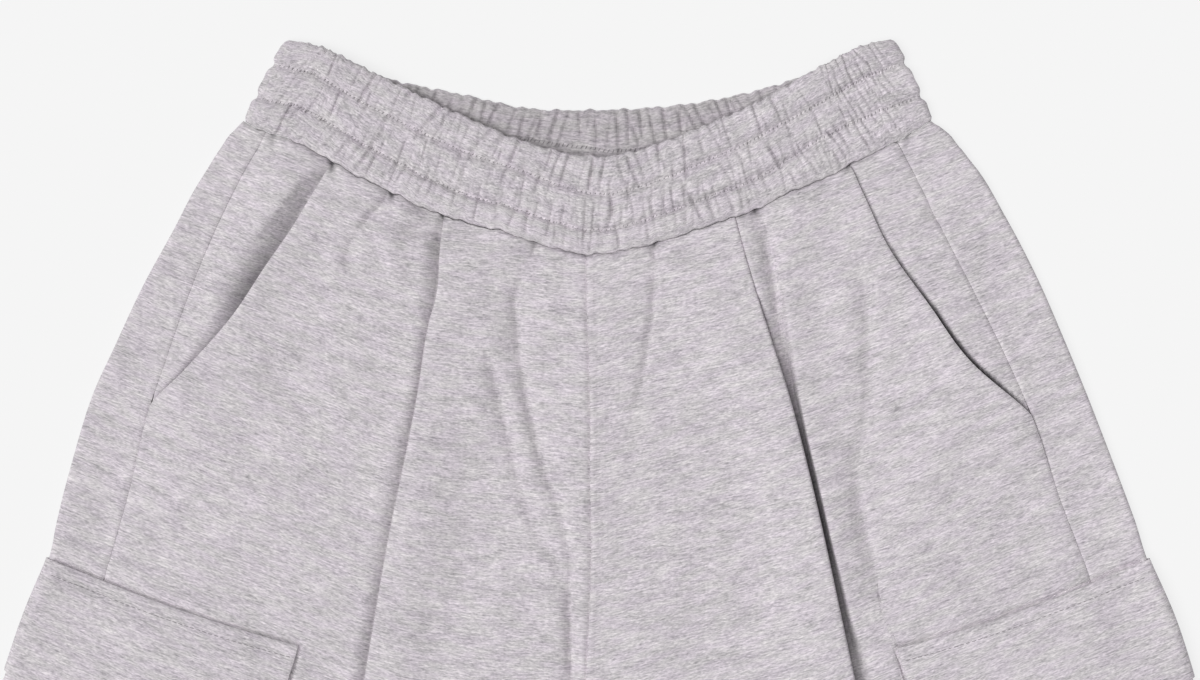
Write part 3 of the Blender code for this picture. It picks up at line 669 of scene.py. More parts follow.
@dataclass(frozen=True)
class Leg:
    """One half of the shorts. Distances out are from the middle of the shorts towards its side."""

    side: Side
    lines: tuple[Line, ...]
    pleats: tuple[Pleat, ...]
    openings: tuple[Opening, ...]
    shoulder: float
    grain: float

    def curve(self, column: str, down: float) -> float:
        """A smooth value of the leg's table at a distance down the side seam."""
        return float(smooth(DOWNS, [getattr(line, column) for line in self.lines], down))

    def inner_out(self, down: float) -> float:
        """Where the centre seam, or below the crotch the inseam, is."""
        return self.side.value * station_value("centre_across", down) + leg_spread(down)

    def fold_out(self, down: float) -> float:
        """Where the outer fold starts to turn; right under the waistband it bulges.

        Args:
            down: Distance down the side seam.

        Returns:
            Its distance out.
        """
        bulge = self.shoulder * (1 - float(ease((down - SHOULDER_HOLD) / SHOULDER_LENGTH)))
        bulge -= SHOULDER_CORNER * (1 - float(ease(down / SHOULDER_CORNER_LENGTH)))
        return self.curve("edge_out", down) + bulge - FOLD_RADIUS - CLOTH / 2 - stack(down) * LAYER

    def opening_out(self, down: float) -> float:
        """The front's outer edge: the pocket opening, and below it the side seam."""
        return self.curve("side_out", down) - max(self.curve("opening", down), GAP / 2)

    def row_up(self, out: Values, down: float) -> Values:
        """How high up a crosswise thread of the front is at distances out.

        Args:
            out: Distances out.
            down: Distance down the side seam.

        Returns:
            The distance up of each.
        """
        inner = self.inner_out(down)
        columns = ("pleat", "side", "edge")
        outs = [inner] + [self.curve(column + "_out", down) for column in columns]
        ups = [station_value("centre_up", down)] + [self.curve(column + "_up", down) for column in columns]
        below_crotch = float(ease((down - CROTCH_DOWN) / CROTCH_EASE))
        up = smooth(outs, ups, out, below_crotch * (ups[1] - ups[0]) / (outs[1] - outs[0]))
        return up + seam_pull(self.side.value * np.asarray(out)) * (1 - ease(down / SEAM_PULL_LENGTH))

    def back_up(self, out: Values, down: float) -> Values:
        """The same on the back, which rises towards its centre seam.

        Args:
            out: Distances out.
            down: Distance down the side seam.

        Returns:
            The distance up of each.
        """
        fold = self.fold_out(down)
        share = np.maximum(0.0, (fold - out) / (fold - self.inner_out(down)))
        return self.row_up(out, down) + station_value("back_rise", down) * share * share

    def inseam(self, out: Values, down: float) -> Values:
        """1 at the inseam, where the front lies on the back, and 0 away from it."""
        beside = 1 - ease((out - self.inner_out(down)) / INSEAM_WIDTH)
        return ease((down - CROTCH_DOWN) / INSEAM_EASE) * beside

    def pleat_share(self, out: Values, down: float) -> Values:
        """1 over the pleat's layers and 0 away from them.

        Args:
            out: Distances out.
            down: Distance down the side seam.

        Returns:
            The share at each.
        """
        pleat = self.curve("pleat_out", down)
        inside = pleat - self.curve("depth", down) - PLEAT_MARGIN
        outside = pleat + self.curve("rim_gap", down)
        inner = ease((out - inside + PLEAT_EASE) / PLEAT_EASE)
        return inner * ease((outside + PLEAT_EASE - out) / PLEAT_EASE)

    def loft(self, out: Values, down: float) -> Values:
        """How far the upper cloth stands off the lower.

        Args:
            out: Distances out.
            down: Distance down the side seam.

        Returns:
            The gap at each.
        """
        loft = LOFT * ease((self.fold_out(down) - out) / LOFT_SIDE) * ease(down / LOFT_WAIST)
        loft = loft * (1 - 0.7 * ease((down - HEM_DOWN + LOFT_HEM) / LOFT_HEM))
        beside = 1 - ease((out - self.inner_out(down)) / LOFT_INSEAM)
        return loft * (1 - ease((down - CROTCH_DOWN + 0.03) / 0.08) * beside)

    def room(self, out: Values, down: float) -> Values:
        """How far the upper cloth may be pressed towards the lower."""
        return np.maximum(0.0, self.top_level(out, down) - PRESSED)

    def top_level(self, out: Values, down: float) -> Values:
        """Middle of the upper cloth where it lies flat, and where it comes down from the outer fold.

        Args:
            out: Distances out.
            down: Distance down the side seam.

        Returns:
            The level of each.
        """
        lift = SEAM_LIFT * (1 - ease(down / SEAM_LIFT_LENGTH)) * (1 - self.pleat_share(out, down))
        notches = seam_notches(self.side.value * out, NOTCH_SPREAD)
        lift = lift - SEAM_TUCK * (1 - ease(down / SEAM_TUCK_LENGTH)) + self.loft(out, down)
        lift = lift - NOTCH_TUCK * notches * (1 - ease(down / NOTCH_LENGTH))
        fold = self.fold_out(down)
        plateau = ease((out - fold + STACK_PLATEAU + STACK_EASE) / STACK_EASE)
        level = np.maximum(PRESSED, FRONT_LEVEL + lift + stack(down) * LAYER * plateau)
        crest = BACK_LEVEL + 2 * FOLD_RADIUS + stack(down) * LAYER
        return level + (crest - level) * (1 - ease((fold - out) / SETTLE_WIDTH))

    def front_level(self, out: Values, down: float) -> Values:
        """Middle of the front's cloth, which passes over the pocket facing.

        Args:
            out: Distances out.
            down: Distance down the side seam.

        Returns:
            The level of each.
        """
        opening = self.opening_out(down)
        over = ease((out - opening + FACING_OVERLAP + 0.038) / 0.030)
        over = over * (1 - ease((down - FACING_END) / (FACING_FADE - FACING_END)))
        gape = shape_value(self.openings, "gape", down) * ease((out - opening + GAPE_WIDTH) / GAPE_WIDTH)
        drop = (FRONT_LEVEL - BACK_LEVEL - LAYER) * self.inseam(out, down)
        return self.top_level(out, down) + LAYER * over + gape - drop

    def patch_groove(self, out: Values, down: float) -> Values:
        """How far the leg's cloth dips right beside the edges of the cargo pocket and its flap.

        Args:
            out: Distances out.
            down: Distance down the side seam.

        Returns:
            The dip at each.
        """
        flap = out - self.curve("side_out", down) + FLAP_REACH
        pocket = out - self.curve("side_out", down) + POCKET_REACH
        above = math.exp(-(((down - FLAP_TOP + 0.0012) / 0.0011) ** 2)) * ease((flap + 0.001) / 0.001)
        below = math.exp(-(((down - POCKET_END - 0.0012) / 0.0014) ** 2)) * ease(pocket / 0.001)
        beside = np.exp(-(((flap + 0.0010) / 0.0012) ** 2)) * float(FLAP_TOP - 0.001 < down < FLAP_END)
        lower = np.exp(-(((pocket + 0.0010) / 0.0014) ** 2)) * float(FLAP_END < down < POCKET_END)
        depth = 0.0017 if self.side is Side.RIGHT else 0.0024
        return depth * np.maximum(np.maximum(above, below), np.maximum(beside, lower))

    def front_share(self, out: Values, down: float) -> Values:
        """How far the front takes up the creases: not at the inseam, where it lies on the back."""
        return 1 - self.inseam(out, down)

    def fold_turn(self, down: float, lift: float, steps: int) -> Path:
        """The cloth round the outer fold, from its top to its underside.

        Args:
            down: Distance down the side seam.
            lift: How many layers out from the leg's own cloth it is.
            steps: Steps in the half turn.

        Returns:
            The turn's thread.
        """
        angle = math.pi * (0.5 - np.arange(steps + 1) / steps)
        radius = FOLD_RADIUS + lift * LAYER
        centre = BACK_LEVEL + FOLD_RADIUS + stack(down) * LAYER
        share = (1 + np.sin(angle)) / 2
        outs = self.fold_out(down) + radius * np.cos(angle)
        room = self.room(np.minimum(outs, self.fold_out(down)), down)
        return Path(outs, centre + radius * np.sin(angle), share, room)

    def patch_path(self, down: float, reach: float, lift: float) -> Path:
        """A pocket or flap, from its front edge, about the fold, to its back edge.

        Args:
            down: Distance down the side seam.
            reach: Distance from the side seam to the front edge.
            lift: How many layers it lies above the leg.

        Returns:
            The patch's thread.
        """
        side = self.curve("side_out", down)
        fold = self.fold_out(down)
        front = side - reach
        plain = np.linspace(front + 0.0040, side, 52)
        outs = np.concatenate((front + EDGE_STEPS, plain, np.linspace(side, fold, 15)[1:-1]))
        roll = EDGE_ROLL * (1 - ease((outs - front) / EDGE_WIDTH))
        turn = self.fold_turn(down, lift, 10)
        under = np.linspace(fold, fold - WRAP_UNDER, 12)[1:]
        level = np.concatenate((
            self.top_level(outs, down) + lift * LAYER - roll,
            turn.level,
            np.full(len(under), BACK_LEVEL + (stack(down) - lift) * LAYER),
        ))
        share = np.concatenate((np.ones(len(outs)), turn.share, np.zeros(len(under))))
        room = np.concatenate((self.room(outs, down), turn.room, np.zeros(len(under))))
        return Path(np.concatenate((outs, turn.out, under)), level, share, room)


LEGS = (
    Leg(Side.RIGHT, RIGHT_LINES, RIGHT_PLEAT, RIGHT_OPENING, shoulder=0.0034, grain=0.08),
    Leg(Side.LEFT, LEFT_LINES, LEFT_PLEAT, LEFT_OPENING, shoulder=0.0028, grain=0.22),
)


def grain_rise(out: Values, middle: float) -> Values:
    """How much higher up the crosswise streaks are at a distance out, from their slope in the middle.

    Args:
        out: Distances out.
        middle: Their slope beside the centre seam.

    Returns:
        The rise at each.
    """
    place = np.clip((out - 0.06) / 0.10, 0.0, 1.0)
    turned = 0.10 * (place**3 - place**4 / 2) + np.maximum(out - 0.16, 0.0)
    return middle * out + (GRAIN_SLOPE - middle) * turned


def colour_ramp(
    tree: bpy.types.NodeTree, value: bpy.types.NodeSocket, stops: Sequence[tuple[float, Colour]]
) -> bpy.types.NodeSocket:
    """Colours that follow a value.

    Args:
        tree: The material's nodes.
        value: The value's socket.
        stops: Values and their colours: the lowest, the highest and then any between.

    Returns:
        The colour's socket.
    """
    ramp = tree.nodes.new("ShaderNodeValToRGB")
    elements = ramp.color_ramp.elements
    for index, (position, colour) in enumerate(stops[:2]):
        elements[index].position = position
        elements[index].color = (*colour, 1.0)
    for position, colour in stops[2:]:
        elements.new(position).color = (*colour, 1.0)
    tree.links.new(value, ramp.inputs["Fac"])
    return ramp.outputs["Color"]


def multiply_colours(
    tree: bpy.types.NodeTree, first: bpy.types.NodeSocket, second: bpy.types.NodeSocket
) -> bpy.types.NodeSocket:
    """Two colours multiplied.

    Args:
        tree: The material's nodes.
        first: A colour's socket.
        second: Another's.

    Returns:
        The result's socket.
    """
    blend = tree.nodes.new("ShaderNodeMix")
    blend.data_type = "RGBA"
    blend.blend_type = "MULTIPLY"
    blend.inputs["Factor"].default_value = 1.0
    tree.links.new(first, blend.inputs["A"])
    tree.links.new(second, blend.inputs["B"])
    return blend.outputs["Result"]


@dataclass(frozen=True)
class Heather:
    """Dull knitted cloth spun from pale and dark fibres, which show as short streaks.

    Attributes:
        name: The material's name.
        dark: Colour of the darkest streaks.
        middle: Colour of most of the cloth.
        pale: Colour of the palest streaks.
        warm: Tint of the warmer patches.
        cool: Tint of the cooler patches.
        streak: Length and height of a streak.
        blot: Length and height of a darker or paler blot.
        patch: Length and height of a warmer or cooler patch.
        shares: How much of the mottle is long streaks, short streaks and blots.
        knit: Width and height of a knitted stitch.
        bump: Strength and height of the cloth's relief.
    """

    name: str
    dark: Colour
    middle: Colour
    pale: Colour
    warm: Colour = (1.010, 0.993, 1.020)
    cool: Colour = (0.990, 1.007, 0.980)
    streak: Point = (0.0070, 0.00105)
    blot: Point = (0.026, 0.008)
    patch: Point = (0.016, 0.006)
    shares: tuple[float, float, float] = (0.46, 0.36, 0.18)
    knit: Point = (0.00090, 0.00075)
    bump: Point = (0.35, 0.0004)

    def noise(
        self, tree: bpy.types.NodeTree, uv: bpy.types.NodeSocket, size: Point, **settings: float
    ) -> bpy.types.NodeSocket:
        """Noise stretched along the cloth.

        Args:
            tree: The material's nodes.
            uv: The cloth's own coordinates, in metres.
            size: Length and height of a blot.
            settings: Values of the noise's sockets, by name.

        Returns:
            The noise, about 0 to 1.
        """
        mapping = tree.nodes.new("ShaderNodeMapping")
        mapping.inputs["Scale"].default_value = (1 / size[0], 1 / size[1], 1.0)
        noise = tree.nodes.new("ShaderNodeTexNoise")
        noise.inputs["Scale"].default_value = 1.0
        for label, value in settings.items():
            noise.inputs[label].default_value = value
        tree.links.new(uv, mapping.inputs["Vector"])
        tree.links.new(mapping.outputs["Vector"], noise.inputs["Vector"])
        return noise.outputs["Fac"]

    def mix(self, tree: bpy.types.NodeTree, kind: str, first: object, second: object) -> bpy.types.NodeSocket:
        """A Math node on two sockets or numbers.

        Args:
            tree: The material's nodes.
            kind: The node's operation.
            first: A socket or a number.
            second: A socket or a number.

        Returns:
            The result's socket.
        """
        node = tree.nodes.new("ShaderNodeMath")
        node.operation = kind
        for socket, value in zip(node.inputs, (first, second)):
            if isinstance(value, bpy.types.NodeSocket):
                tree.links.new(value, socket)
            else:
                socket.default_value = value
        return node.outputs[0]

    def knitting(self, tree: bpy.types.NodeTree, uv: bpy.types.NodeSocket) -> bpy.types.NodeSocket:
        """Rows of knitted stitches, each a small V.

        Args:
            tree: The material's nodes.
            uv: The cloth's own coordinates, in metres.

        Returns:
            The stitches' height, 0 to 1.
        """
        parts = tree.nodes.new("ShaderNodeSeparateXYZ")
        tree.links.new(uv, parts.inputs["Vector"])
        wale = self.mix(tree, "MULTIPLY", parts.outputs["X"], 1 / self.knit[0])
        course = self.mix(tree, "MULTIPLY", parts.outputs["Y"], 1 / self.knit[1])
        lean = self.mix(tree, "PINGPONG", wale, 0.5)
        slant = self.mix(tree, "ADD", course, lean)
        wave = self.mix(tree, "SINE", self.mix(tree, "MULTIPLY", slant, 2 * math.pi), 0.0)
        rib = self.mix(tree, "MULTIPLY", lean, 1.4)
        return self.mix(tree, "ADD", self.mix(tree, "MULTIPLY", wave, 0.3), rib)

    def mottle(
        self, tree: bpy.types.NodeTree, uv: bpy.types.NodeSocket
    ) -> tuple[bpy.types.NodeSocket, bpy.types.NodeSocket]:
        """Streaks of pale and dark fibres, long and short, with soft blots over them.

        Args:
            tree: The material's nodes.
            uv: The cloth's own coordinates, in metres.

        Returns:
            The streaks alone, and the streaks with the blots.
        """
        long_streaks = self.noise(tree, uv, self.streak, Detail=2.0, Roughness=0.62, Distortion=0.5)
        short_size = (self.streak[0] * 0.32, self.streak[1] * 0.75)
        short_streaks = self.noise(tree, uv, short_size, Detail=1.0, Roughness=0.6, Distortion=0.3)
        blots = self.noise(tree, uv, self.blot, Detail=2.0, Roughness=0.5, Distortion=0.6)
        long_part = self.mix(tree, "MULTIPLY", long_streaks, self.shares[0])
        short_part = self.mix(tree, "MULTIPLY", short_streaks, self.shares[1])
        streaks = self.mix(tree, "ADD", long_part, short_part)
        blot_part = self.mix(tree, "MULTIPLY", blots, self.shares[2])
        return streaks, self.mix(tree, "ADD", streaks, blot_part)

    def material(self) -> bpy.types.Material:
        """The finish as a material that reads the piece's own cloth coordinates.

        Returns:
            The material.
        """
        material = bpy.data.materials.new(self.name)
        material.use_nodes = True
        tree = material.node_tree
        shader = tree.nodes["Principled BSDF"]
        shader.inputs["Roughness"].default_value = 0.92
        shader.inputs["Specular IOR Level"].default_value = 0.18
        shader.inputs["Sheen Weight"].default_value = 0.12
        shader.inputs["Sheen Roughness"].default_value = 0.6
        cloth = tree.nodes.new("ShaderNodeUVMap")
        cloth.uv_map = "cloth"
        uv = cloth.outputs["UV"]
        streaks, mottle = self.mottle(tree, uv)
        fibres = colour_ramp(tree, mottle, ((0.33, self.dark), (0.66, self.pale), (0.50, self.middle)))
        tints = self.noise(tree, uv, self.patch, Detail=1.0, Roughness=0.5)
        tint = colour_ramp(tree, tints, ((0.36, self.cool), (0.64, self.warm)))
        colour = multiply_colours(tree, fibres, tint)
        # Painted shade: a point attribute of the piece darkens its colour in deep folds, pocket openings and
        # the waist seam, where little light comes.
        painted_fold_shade = tree.nodes.new("ShaderNodeAttribute")
        painted_fold_shade.attribute_name = "painted_fold_shade"
        lit = self.mix(tree, "SUBTRACT", 1.0, painted_fold_shade.outputs["Fac"])
        tree.links.new(multiply_colours(tree, colour, lit), shader.inputs["Base Color"])
        streak_height = self.mix(tree, "MULTIPLY", streaks, 0.8)
        knit_height = self.mix(tree, "MULTIPLY", self.knitting(tree, uv), 0.35)
        height = self.mix(tree, "ADD", streak_height, knit_height)
        bump = tree.nodes.new("ShaderNodeBump")
        bump.inputs["Strength"].default_value, bump.inputs["Distance"].default_value = self.bump
        tree.links.new(height, bump.inputs["Height"])
        tree.links.new(bump.outputs["Normal"], shader.inputs["Normal"])
        return material


@dataclass(frozen=True)
class Thread:
    """Sewing thread with its twist, painted darker than the cloth: painted shade for the small shadows at its
    stitches.
    """

    name: str = "sewing_thread"
    # Painted shade: the thread's colours are made darker than the cloth to stand for the shadows at each
    # stitch.
    colour: Colour = (0.300, 0.280, 0.296)
    shade: Colour = (0.190, 0.176, 0.186)

    def material(self) -> bpy.types.Material:
        """The finish as a material on Object coordinates.

        Returns:
            The material.
        """
        material = bpy.data.materials.new(self.name)
        material.use_nodes = True
        tree = material.node_tree
        shader = tree.nodes["Principled BSDF"]
        shader.inputs["Roughness"].default_value = 0.7
        place = tree.nodes.new("ShaderNodeTexCoord")
        noise = tree.nodes.new("ShaderNodeTexNoise")
        noise.inputs["Scale"].default_value = 1500.0
        noise.inputs["Detail"].default_value = 2.0
        tree.links.new(place.outputs["Object"], noise.inputs["Vector"])
        twist = colour_ramp(tree, noise.outputs["Fac"], ((0.35, self.shade), (0.65, self.colour)))
        tree.links.new(twist, shader.inputs["Base Color"])
        return material


def add_piece(
    name: str, mesh: bpy.types.Mesh, materials: Sequence[bpy.types.Material]
) -> bpy.types.Object:
    """Puts a finished mesh into the scene as a piece of the shorts.

    Args:
        name: The piece's name.
        mesh: Its mesh, already in place.
        materials: Its finishes.

    Returns:
        The piece, riding on the shorts.
    """
    for material in materials:
        mesh.materials.append(material)
    piece = bpy.data.objects.new(name, mesh)
    bpy.context.scene.collection.objects.link(piece)
    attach(piece, "root")
    return piece


def grid_mesh(name: str, places: Values, cloth: Values, painted_fold_shade: Optional[Values] = None) -> bpy.types.Mesh:
    """A mesh of a grid of places with its cloth coordinates.

    Args:
        name: The mesh's name.
        places: Rows by columns of points.
        cloth: Rows by columns of cloth coordinates, in metres.
        painted_fold_shade: Rows by columns of painted shade, how much darker the colour is made in deep
            folds, if any.

    Returns:
        The mesh, shaded smooth.
    """
    rows, columns = places.shape[:2]
    sheet = bmesh.new()
    bmesh.ops.create_grid(sheet, x_segments=columns - 1, y_segments=rows - 1, size=0.5)
    mesh = bpy.data.meshes.new(name)
    sheet.to_mesh(mesh)
    sheet.free()
    flat = np.empty(len(mesh.vertices) * 3)
    mesh.vertices.foreach_get("co", flat)
    flat = flat.reshape(-1, 3)
    column = np.rint((flat[:, 0] + 0.5) * (columns - 1)).astype(int)
    row = np.rint((flat[:, 1] + 0.5) * (rows - 1)).astype(int)
    mesh.vertices.foreach_set("co", places[row, column].ravel())
    corners = np.empty(len(mesh.loops), int)
    mesh.loops.foreach_get("vertex_index", corners)
    layer = mesh.uv_layers.new(name="cloth")
    layer.data.foreach_set("uv", cloth[row, column][corners].ravel())
    if painted_fold_shade is not None:
        mesh.attributes.new("painted_fold_shade", "FLOAT", "POINT").data.foreach_set("value", painted_fold_shade[row, column])
    mesh.shade_smooth()
    mesh.update()
    return mesh


@dataclass
class ClothSheet:
    """A sheet of cloth on one leg: a grid of threads with a wall.

    Attributes:
        leg: The leg that it is on.
        finish: Its material.
        flat: Width and length that it was cut to; not used.
        area: The cut's flat area; not used.
        slot: The record's material slot; not used.
    """

    leg: Leg
    finish: bpy.types.Material
    flat: Point
    area: float
    slot: str = "heather_jersey"
    kind: ClassVar[str] = "sheet"
    rests_on: ClassVar[tuple[str, ...]] = ()

    @property
    def name(self) -> str:
        """The piece's name, which is also that of the node it replaces."""
        return f"{self.kind}_{self.leg.side.label}"

    def rows(self) -> Values:
        """Distances down the side seam of the sheet's threads."""
        return leg_rows()

    def path(self, down: float) -> Path:
        """The sheet's thread at a distance down the side seam."""
        raise NotImplementedError

    def up(self, out: Values, down: float) -> Values:
        """How high up a thread is at distances out."""
        return self.leg.row_up(out, down)

    def shade(self, path: Path, down: float) -> Values:
        """The painted shade of each place of a thread, where a deep fold keeps light off."""
        return self.seam_shade(path.out, down)

    def seam_shade(self, out: Values, down: float) -> Values:
        """The painted shade in the waist seam, which is deepest at its gathers."""
        notches = seam_notches(self.leg.side.value * out, NOTCH_WIDTH) * (1 - ease(down / NOTCH_LENGTH))
        plain = SEAM_SHADE * (1 - ease(down / SEAM_SHADE_LENGTH))
        return np.minimum(NOTCH_SHADE, plain + NOTCH_SHADE * notches)

    def places(self) -> tuple[Values, Values, Values]:
        """The sheet's grid.

        Returns:
            Rows by columns of points, of cloth coordinates, and of painted shade.
        """
        downs = [float(down) for down in self.rows()]
        paths = [self.path(down) for down in downs]
        out, level, share, room = (np.array(values) for values in zip(*paths))
        up = np.array([self.up(path.out, down) for path, down in zip(paths, downs)])
        across = self.leg.side.value * out
        steps = np.hypot(np.diff(out, axis=1), np.diff(level, axis=1))
        run = out[:, :1] + np.concatenate((np.zeros((len(out), 1)), np.cumsum(steps, axis=1)), axis=1)
        level = level + np.maximum(RELIEF.lift(across, up), -room) * share
        cloth = np.stack((self.leg.side.value * run, up - grain_rise(out, self.leg.grain)), axis=2)
        painted_fold_shade = np.array([self.shade(path, down) for path, down in zip(paths, downs)])
        return np.stack((across, up, level), axis=2), cloth, painted_fold_shade

    def build(self) -> bpy.types.Object:
        """Makes the sheet and its wall, in place of the solid of the same name.

        Returns:
            The piece.
        """
        places, cloth, painted_fold_shade = self.places()
        mesh = grid_mesh(self.name + "_sheet", places, cloth, painted_fold_shade)
        piece = add_piece(self.name + "_sheet", mesh, [self.finish])
        wall = piece.modifiers.new("wall", "SOLIDIFY")
        wall.thickness = CLOTH
        wall.offset = 0.0
        wall.use_quality_normals = True
        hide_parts(self.name)
        log.info("%s: %d x %d threads", piece.name, *places.shape[:2])
        return piece

    def declare(self, piece: bpy.types.Object, sewing: Sequence[bpy.types.Object]) -> None:
        """Does nothing."""


def leg_rows() -> Values:
    """Where a panel's threads are: closer at the waist seam, the patches and the hem.

    Returns:
        The distances.
    """
    beside = np.array((-0.0040, -0.0026, -0.0019, -0.0012, -0.0005, 0.0003, 0.0012, 0.0024))
    return np.concatenate((
        (0.0, 0.0006, 0.0013, 0.0022, 0.0034, 0.0050),
        np.arange(0.0070, 0.0600, 0.0022),
        np.linspace(0.0615, FLAP_TOP - 0.0068, 72),
        FLAP_TOP + beside,
        np.linspace(FLAP_TOP + 0.0050, POCKET_END - 0.0068, 62),
        POCKET_END + beside,
        np.linspace(POCKET_END + 0.0052, 0.5700, 26),
        (0.5712, 0.5722, 0.5730, 0.5736, HEM_DOWN),
    ))


@dataclass
class FrontPanel(ClothSheet):
    """Front panel, with its pleat folded in."""

    kind: ClassVar[str] = "front"
    top_columns: ClassVar[int] = 63
    rests_on: ClassVar[tuple[str, ...]] = ("back_right", "back_left")

    def path(self, down: float) -> Path:
        """The panel's thread, from the centre seam through the pleat to its outer edge.

        Args:
            down: Distance down the side seam.

        Returns:
            The thread.
        """
        leg = self.leg
        inner = leg.inner_out(down) + GAP / 2
        pleat = leg.curve("pleat_out", down)
        depth = leg.curve("depth", down)
        crown, gap, wall, sink, tilt, rim, lip = (
            shape_value(leg.pleats, column, down) for column in Pleat._fields[1:-1]
        )
        turn = pleat - CLOTH / 2 - PLEAT_BULGE
        hidden_turn = pleat - depth + CLOTH / 2 + LAYER / 2
        full = pleat - depth - PLEAT_MARGIN
        start = max(full - PLEAT_RISE, inner + 0.01)
        plain = np.linspace(inner + 0.0036, turn, self.top_columns - len(EDGE_STEPS))
        top = np.concatenate((inner + EDGE_STEPS, plain))
        rise = 2 * LAYER * ease((top - start) / (full - start)) + crown * ease((top - turn) / CROWN_WIDTH + 1)
        roll = self.centre_roll(top - inner)
        top_level = leg.front_level(top, down) + rise - roll
        base = float(leg.front_level(np.array(turn), down))
        high, low = top_level[-1], base + LAYER
        angle = math.pi * (0.5 - np.arange(1, 9) / 8)
        outer_turn = turn + PLEAT_BULGE * np.cos(angle)
        outer_level = (high + low) / 2 + (high - low) / 2 * np.sin(angle)
        back_run = np.linspace(turn, hidden_turn, 5)[1:]
        back_level = leg.front_level(back_run, down) + LAYER
        angle = math.pi * (0.5 + np.arange(1, 6) / 5)
        inner_turn = hidden_turn + LAYER / 2 * np.cos(angle)
        inner_level = leg.front_level(inner_turn, down) + LAYER / 2 * (1 + np.sin(angle))
        crest = pleat + gap
        foot = max(crest - wall, pleat + 0.0002)
        outer = leg.opening_out(down)
        mark = self.patch_edge(down, crest + RIM_WIDTH, outer)
        under = np.linspace(hidden_turn, pleat - 0.002, 5)[1:]
        slope = pleat - 0.0014 + (foot - pleat + 0.0014) * SLOPE_STEPS
        climb = np.linspace(foot, crest, 8)[1:]
        over = np.linspace(crest, crest + RIM_WIDTH, 10)[1:]
        near = np.linspace(crest + RIM_WIDTH, mark - 0.0030, 22)[1:]
        marks = mark + np.array((-0.0020, -0.0012, -0.0006, 0.0, 0.0008, 0.0018))
        far = np.linspace(mark + 0.0030, outer - EDGE_STEPS[-1] - 0.0016, 42)
        out = np.concatenate((under, slope, climb, over, near, marks, far, outer - EDGE_STEPS[::-1]))
        tilted = tilt + (1 - tilt) * ease((out - pleat) / (foot - pleat))
        trough = ease((out - pleat + 0.010) / 0.009) * tilted
        trough = sink * trough * (1 - np.clip((out - foot) / wall, 0.0, 1.0)) ** 2
        hump = rim * ease((out - foot) / wall) * (1 - ease((out - crest) / (RIM_WIDTH * 1.3)))
        hump = hump + lip * ease((out - pleat - 0.0001) / 0.0009) * (1 - ease((out - foot + 0.006) / 0.006))
        roll = EDGE_ROLL * (1 - ease((outer - out) / EDGE_WIDTH))
        level = leg.front_level(out, down) + hump - trough - roll - leg.patch_groove(out, down)
        level = np.maximum(level, np.minimum(PRESSED, leg.front_level(out, down)))
        outs = np.concatenate((top, outer_turn, back_run, inner_turn, out))
        levels = np.concatenate((top_level, outer_level, back_level, inner_level, level))
        room = np.minimum(leg.room(outs, down), np.maximum(0.0, levels - PRESSED))
        return Path(outs, levels, leg.front_share(outs, down), room)

    def shade(self, path: Path, down: float) -> Values:
        """The painted shade where the pleat and the waist seam keep light off the cloth behind the fold.

        Args:
            path: The panel's thread.
            down: Distance down the side seam.

        Returns:
            The painted shade of each place, 0 to 1.
        """
        gap, strength = (shape_value(self.leg.pleats, column, down) for column in ("gap", "shade"))
        behind = np.arange(len(path.out)) > self.top_columns + 4
        place = (path.out - self.leg.curve("pleat_out", down) - 0.35 * gap) / (0.65 * gap)
        return np.maximum(strength * behind * (1 - ease(place)), self.seam_shade(path.out, down))

    def centre_roll(self, distance: Values) -> Values:
        """How far the front's inner edge rolls down; the left side's edge stands a little proud first.

        Args:
            distance: Distances from that edge.

        Returns:
            The roll at each.
        """
        if self.leg.side is Side.RIGHT:
            return 0.0013 * (1 - ease(distance / 0.0030))
        roll = EDGE_ROLL * (1 - ease(distance / EDGE_WIDTH))
        return roll - 0.0008 * ease(distance / 0.0010) * (1 - ease((distance - 0.0014) / 0.0034))

    def patch_edge(self, down: float, first: float, last: float) -> float:
        """Where the threads crowd: at the cargo pocket's front edge, and above it part of the way out.

        Args:
            down: Distance down the side seam.
            first: Where the plain cloth beyond the pleat's rim starts.
            last: The panel's outer edge.

        Returns:
            The distance out.
        """
        lower = self.leg.curve("side_out", down) - FLAP_REACH
        share = float(ease((down - 0.200) / 0.060))
        return lower * share + (first + 0.4 * (last - first)) * (1 - share)


@dataclass
class BackPanel(ClothSheet):
    """Back panel, which comes round the outer fold to the side seam on the front."""

    kind: ClassVar[str] = "back"
    strip_columns: ClassVar[int] = 26
    turn_steps: ClassVar[int] = 12

    def path(self, down: float) -> Path:
        """The panel's thread, from the side seam about the outer fold to its centre seam.

        Args:
            down: Distance down the side seam.

        Returns:
            The thread.
        """
        leg = self.leg
        side = leg.curve("side_out", down) + GAP / 2
        fold = leg.fold_out(down)
        strip = np.concatenate((side + EDGE_STEPS, np.linspace(side + 0.0034, fold, self.strip_columns)[:-1]))
        roll = EDGE_ROLL * (1 - ease((strip - side) / EDGE_WIDTH))
        turn = leg.fold_turn(down, 0.0, self.turn_steps)
        step_in = fold - WRAP_UNDER - 0.004
        step_out = step_in - 0.022
        inner = leg.inner_out(down) + GAP / 2
        under = np.concatenate((np.linspace(fold, step_out, 18)[1:], np.linspace(step_out, inner, 62)[1:]))
        wrap = BACK_LEVEL + stack(down) * LAYER * ease((under - step_out) / (step_in - step_out))
        outs = np.concatenate((strip, turn.out, under))
        level = leg.top_level(strip, down) - roll - leg.patch_groove(strip, down)
        levels = np.concatenate((level, turn.level, wrap))
        share = np.concatenate((np.ones(len(strip)), turn.share, np.zeros(len(under))))
        room = np.concatenate((leg.room(strip, down), turn.room, np.zeros(len(under))))
        return Path(outs, levels, share, room)

    def up(self, out: Values, down: float) -> Values:
        """How high up a thread is: as the front above the fold, and towards the back rise below it."""
        above = len(EDGE_STEPS) + self.strip_columns - 1 + self.turn_steps // 2
        return np.concatenate((self.leg.row_up(out[:above], down), self.leg.back_up(out[above:], down)))


